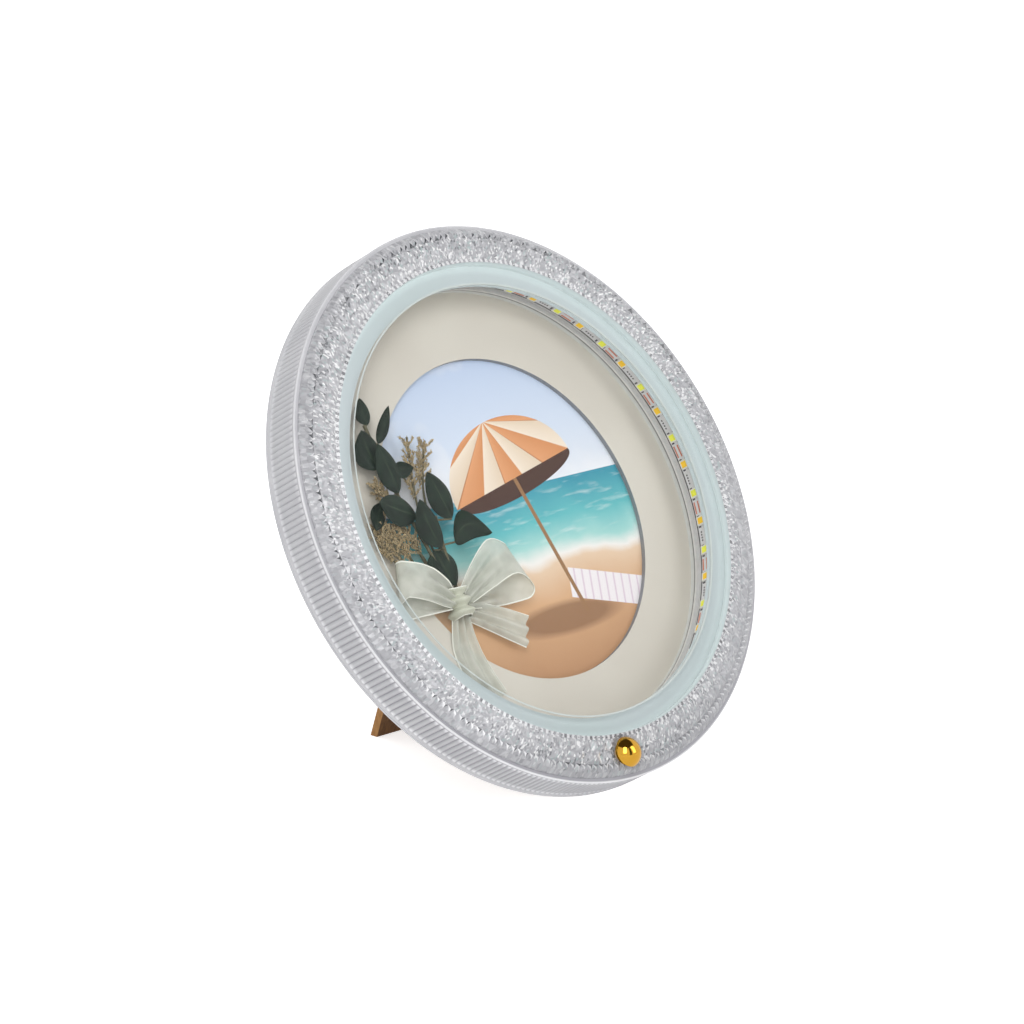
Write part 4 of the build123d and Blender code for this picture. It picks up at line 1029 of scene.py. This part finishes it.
def catmull(stations, values, places):
    """Smooth values through the given stations."""
    slopes = np.gradient(values, stations)
    index = np.clip(np.searchsorted(stations, places, side="right") - 1, 0, len(stations) - 2)
    span = stations[index + 1] - stations[index]
    t = (places - stations[index]) / span
    a, b = values[index], values[index + 1]
    return ((2 * t ** 3 - 3 * t ** 2 + 1) * a + (t ** 3 - 2 * t ** 2 + t) * span * slopes[index]
            + (-2 * t ** 3 + 3 * t ** 2) * b + (t ** 3 - t ** 2) * span * slopes[index + 1])


def ribbon_surface(line, widths, sides):
    """Ribbon along a smooth line of points, gathered into pleats where it lies narrower than it was cut."""
    stations = np.linspace(0, 1, len(line))
    places = np.linspace(0, 1, RIBBON_ROWS)
    line = np.array([tuple(p) for p in line])
    sides = np.array([tuple(s) for s in sides])
    middle = np.stack([catmull(stations, line[:, axis], places) for axis in range(3)], -1)
    wide = np.interp(places, stations, widths)
    side = np.stack([np.interp(places, stations, sides[:, axis]) for axis in range(3)], -1)
    side /= np.linalg.norm(side, axis=1)[:, None]
    up = np.cross(np.gradient(middle, axis=0), side)
    up /= np.linalg.norm(up, axis=1)[:, None]
    points, uvs = [], []
    for i in range(RIBBON_ROWS):
        waves = PLEATS * math.pi / wide[i]
        pleat = 2 * math.sqrt(max(RIBBON_WIDE * PLEAT_SHARE / wide[i] - 1, 0.0)) / (2 * waves)
        for j in range(RIBBON_COLUMNS):
            s = 2 * j / (RIBBON_COLUMNS - 1) - 1
            lift = pleat * math.sin(PLEATS * math.pi * s + 0.6)
            points.append(Vector(middle[i] + side[i] * (s * wide[i] / 2) + up[i] * lift))
            uvs.append((places[i], j / (RIBBON_COLUMNS - 1)))
    return sheet_mesh("ribbon", points, uvs, RIBBON_COLUMNS)


def ribbon_piece(node, line, widths, sides, material=RIBBON):
    """One run of the ribbon in place of its solid."""
    mesh = ribbon_surface([by_knot(*point) for point in line], widths, sides)
    obj = finished(node + "_cloth", thickened(mesh, RIBBON_THICK), material, "ribbon", node, smooth=80)


def bow():
    """Two loops, two tails and the knot's wrap. Points are X, Y and rise over the mat from the knot."""
    left, left_end = Vector((-0.39, -0.92, 0)), Vector((-0.29, -0.957, 0))
    left_turn, fan = Vector((-0.5, -0.86, 0)), Vector((-0.85, -0.52, 0))
    ribbon_piece("ribbon_loop_left", [
        (-2.2, 0.8, 2.8), (-7.0, 3.0, 1.5), (-12.8, 5.2, 1.1), (-17.0, 6.8, 1.6), (-17.6, 7.8, 3.4),
        (-12.4, 7.8, 4.9), (-6.6, 4.4, 4.8), (-2.2, 1.2, 4.0)],
        [4.6, 8.6, 12.8, 15.6, 15.4, 12.6, 8.4, 4.6], [left] * 3 + [left_end, left_turn, fan, fan, left])
    low, high = Vector((-0.17, 0.98, 0)), Vector((-0.52, 0.85, 0))
    ribbon_piece("ribbon_loop_right", [
        (2.2, 0.6, 2.8), (9.0, 1.6, 1.5), (17.0, 2.6, 1.2), (24.6, 3.8, 1.9), (24.8, 6.0, 3.4),
        (18.8, 8.8, 4.9), (9.8, 5.2, 4.8), (2.2, 1.0, 4.0)],
        [4.6, 8.4, 12.0, 14.4, 14.2, 12.6, 8.8, 4.6], [low] * 4 + [low * 0.5 + high * 0.5] + [high] * 3)
    ribbon_piece("ribbon_tail_right", [
        (2.8, -2.2, 1.6), (9.0, -4.8, 1.2), (15.0, -8.2, 1.4), (20.4, -11.6, 1.8)],
        [4.6, 6.6, 8.0, 8.8], [Vector((0.45, 0.9, 0))] * 4)
    ribbon_piece("ribbon_tail_long", [
        (0, -3.2, 1.6), (-1.3, -11.0, 0.9), (-0.4, -19.0, 0.8), (2.2, -27.2, 0.8)],
        [5.0, 8.2, 9.2, 9.2], [Vector((1, rise, 0)) for rise in (0, 0.05, 0.3, 0.55)])
    ribbon_piece("ribbon_knot", [
        (-2.7, 0.2, 1.0), (-2.9, 0.2, 3.2), (-1.5, 0.1, 5.1), (1.5, 0, 5.1), (2.9, 0, 3.2), (2.7, 0, 1.0)],
        [8.4, 8.2, 7.4, 7.4, 8.2, 8.4], [Vector((0, 1, 0))] * 6, KNOTTED_RIBBON)


reeded_housing()
crystal_ring()
window_and_film()
lamp_ring()
sprig("eucalyptus_long", "eucalyptus_sprig_long", LONG_STEM, LONG_LEAVES)
sprig("eucalyptus_short", "eucalyptus_sprig_short", SHORT_STEM, SHORT_LEAVES)
grass()
bow()


# Floor, light and camera

def sheet_of_stage(name, corners, material):
    """A flat piece of the studio, which is no part of the object."""
    obj = holder(name, mesh_from(name, corners, [(0, 1, 2, 3)]))
    obj.data.materials.append(material)
    return obj


def studio():
    """A white floor and world, two grey flags for the gold and the crystal to show, and three soft lamps."""
    material, node = new_material("white_studio_floor")
    glow = node("MapRange", {0: node("LightPath").outputs["Is Camera Ray"], 3: 0.15, 4: 0.72})
    shaded(material, Base_Color="#F2F2F2", Roughness=0.9, Emission_Color="#FFFFFF", Emission_Strength=glow)
    sheet_of_stage("studio_floor", [(-6, -6, 0), (6, -6, 0), (6, 6, 0), (-6, 6, 0)], material)

    world = bpy.data.worlds.new("white_studio")
    bpy.context.scene.world = world
    world.use_nodes = True
    world.node_tree.nodes.clear()
    node = partial(add, world.node_tree)
    path = node("LightPath").outputs
    seen = node("Math MAXIMUM", [path["Is Camera Ray"], path["Is Glossy Ray"]])
    shown = node("Math MAXIMUM", [seen, path["Is Transmission Ray"]])
    level = node("MapRange", {0: shown, 3: 0.36, 4: 1.0})
    node("OutputWorld", [node("Background", Color="#FFFFFF", Strength=level)])

    grey = shaded(new_material("grey_studio_flag")[0], Base_Color="#5E5952", Roughness=1.0,
                  Specular_IOR_Level=0.0)
    for name, corners in (
            ("ceiling_flag", [(-2.4, -2.4, 3.0), (2.4, -2.4, 3.0), (2.4, 2.0, 3.0), (-2.4, 2.0, 3.0)]),
            ("front_flag", [(-0.45, -1.8, 0), (0.1, -1.95, 0), (0.1, -1.95, 2.6), (-0.45, -1.8, 2.6)])):
        flag = sheet_of_stage(name, corners, grey)
        flag.visible_camera = flag.visible_diffuse = flag.visible_transmission = flag.visible_shadow = False

    target = Vector((0, 0, 0.07))
    for name, place, size, power in (
            ("left_softbox", (-1.1, -1.0, 1.1), (0.7, 1.4), 15.0),
            ("right_softbox", (0.66, -1.45, 0.9), (0.7, 1.4), 7.0),
            ("top_softbox", (0.1, 0.3, 1.8), (1.2, 1.2), 10.0)):
        lamp = bpy.data.lights.new(name, "AREA")
        lamp.shape = "RECTANGLE"
        lamp.size, lamp.size_y = size
        lamp.energy = power
        obj = holder(name, lamp)
        obj.location = place
        obj.rotation_euler = (target - Vector(place)).to_track_quat("-Z", "Y").to_euler()
        obj.visible_glossy = name != "top_softbox"


def photo_camera():
    """The photograph's view: 1080 mm away, from the front left and a little above."""
    azimuth, elevation, distance = math.radians(-46.0), math.radians(13.8), 1.08
    pixels_per_mm, image = 3.814, 1024
    disc_at = (536.2, 498.2)
    back = Vector((math.sin(azimuth) * math.cos(elevation), -math.cos(azimuth) * math.cos(elevation),
                   math.sin(elevation)))
    right = OUT.cross(back).normalized()
    up = back.cross(right)
    disc = TO_ROW @ Vector((0, 0, -1.0))
    aim = disc - right * ((disc_at[0] - image / 2) / pixels_per_mm * MM)
    aim += up * ((disc_at[1] - image / 2) / pixels_per_mm * MM)
    camera = bpy.data.cameras.new("photo_camera")
    camera.sensor_width = 36.0
    camera.lens = pixels_per_mm * 1000 * distance * camera.sensor_width / image
    obj = holder("photo_camera", camera)
    turn = Matrix((right, up, back)).transposed().to_4x4()
    obj.matrix_world = Matrix.Translation(aim + back * distance) @ turn
    bpy.context.scene.camera = obj


studio()
photo_camera()
bpy.context.scene.view_settings.view_transform = "Standard"
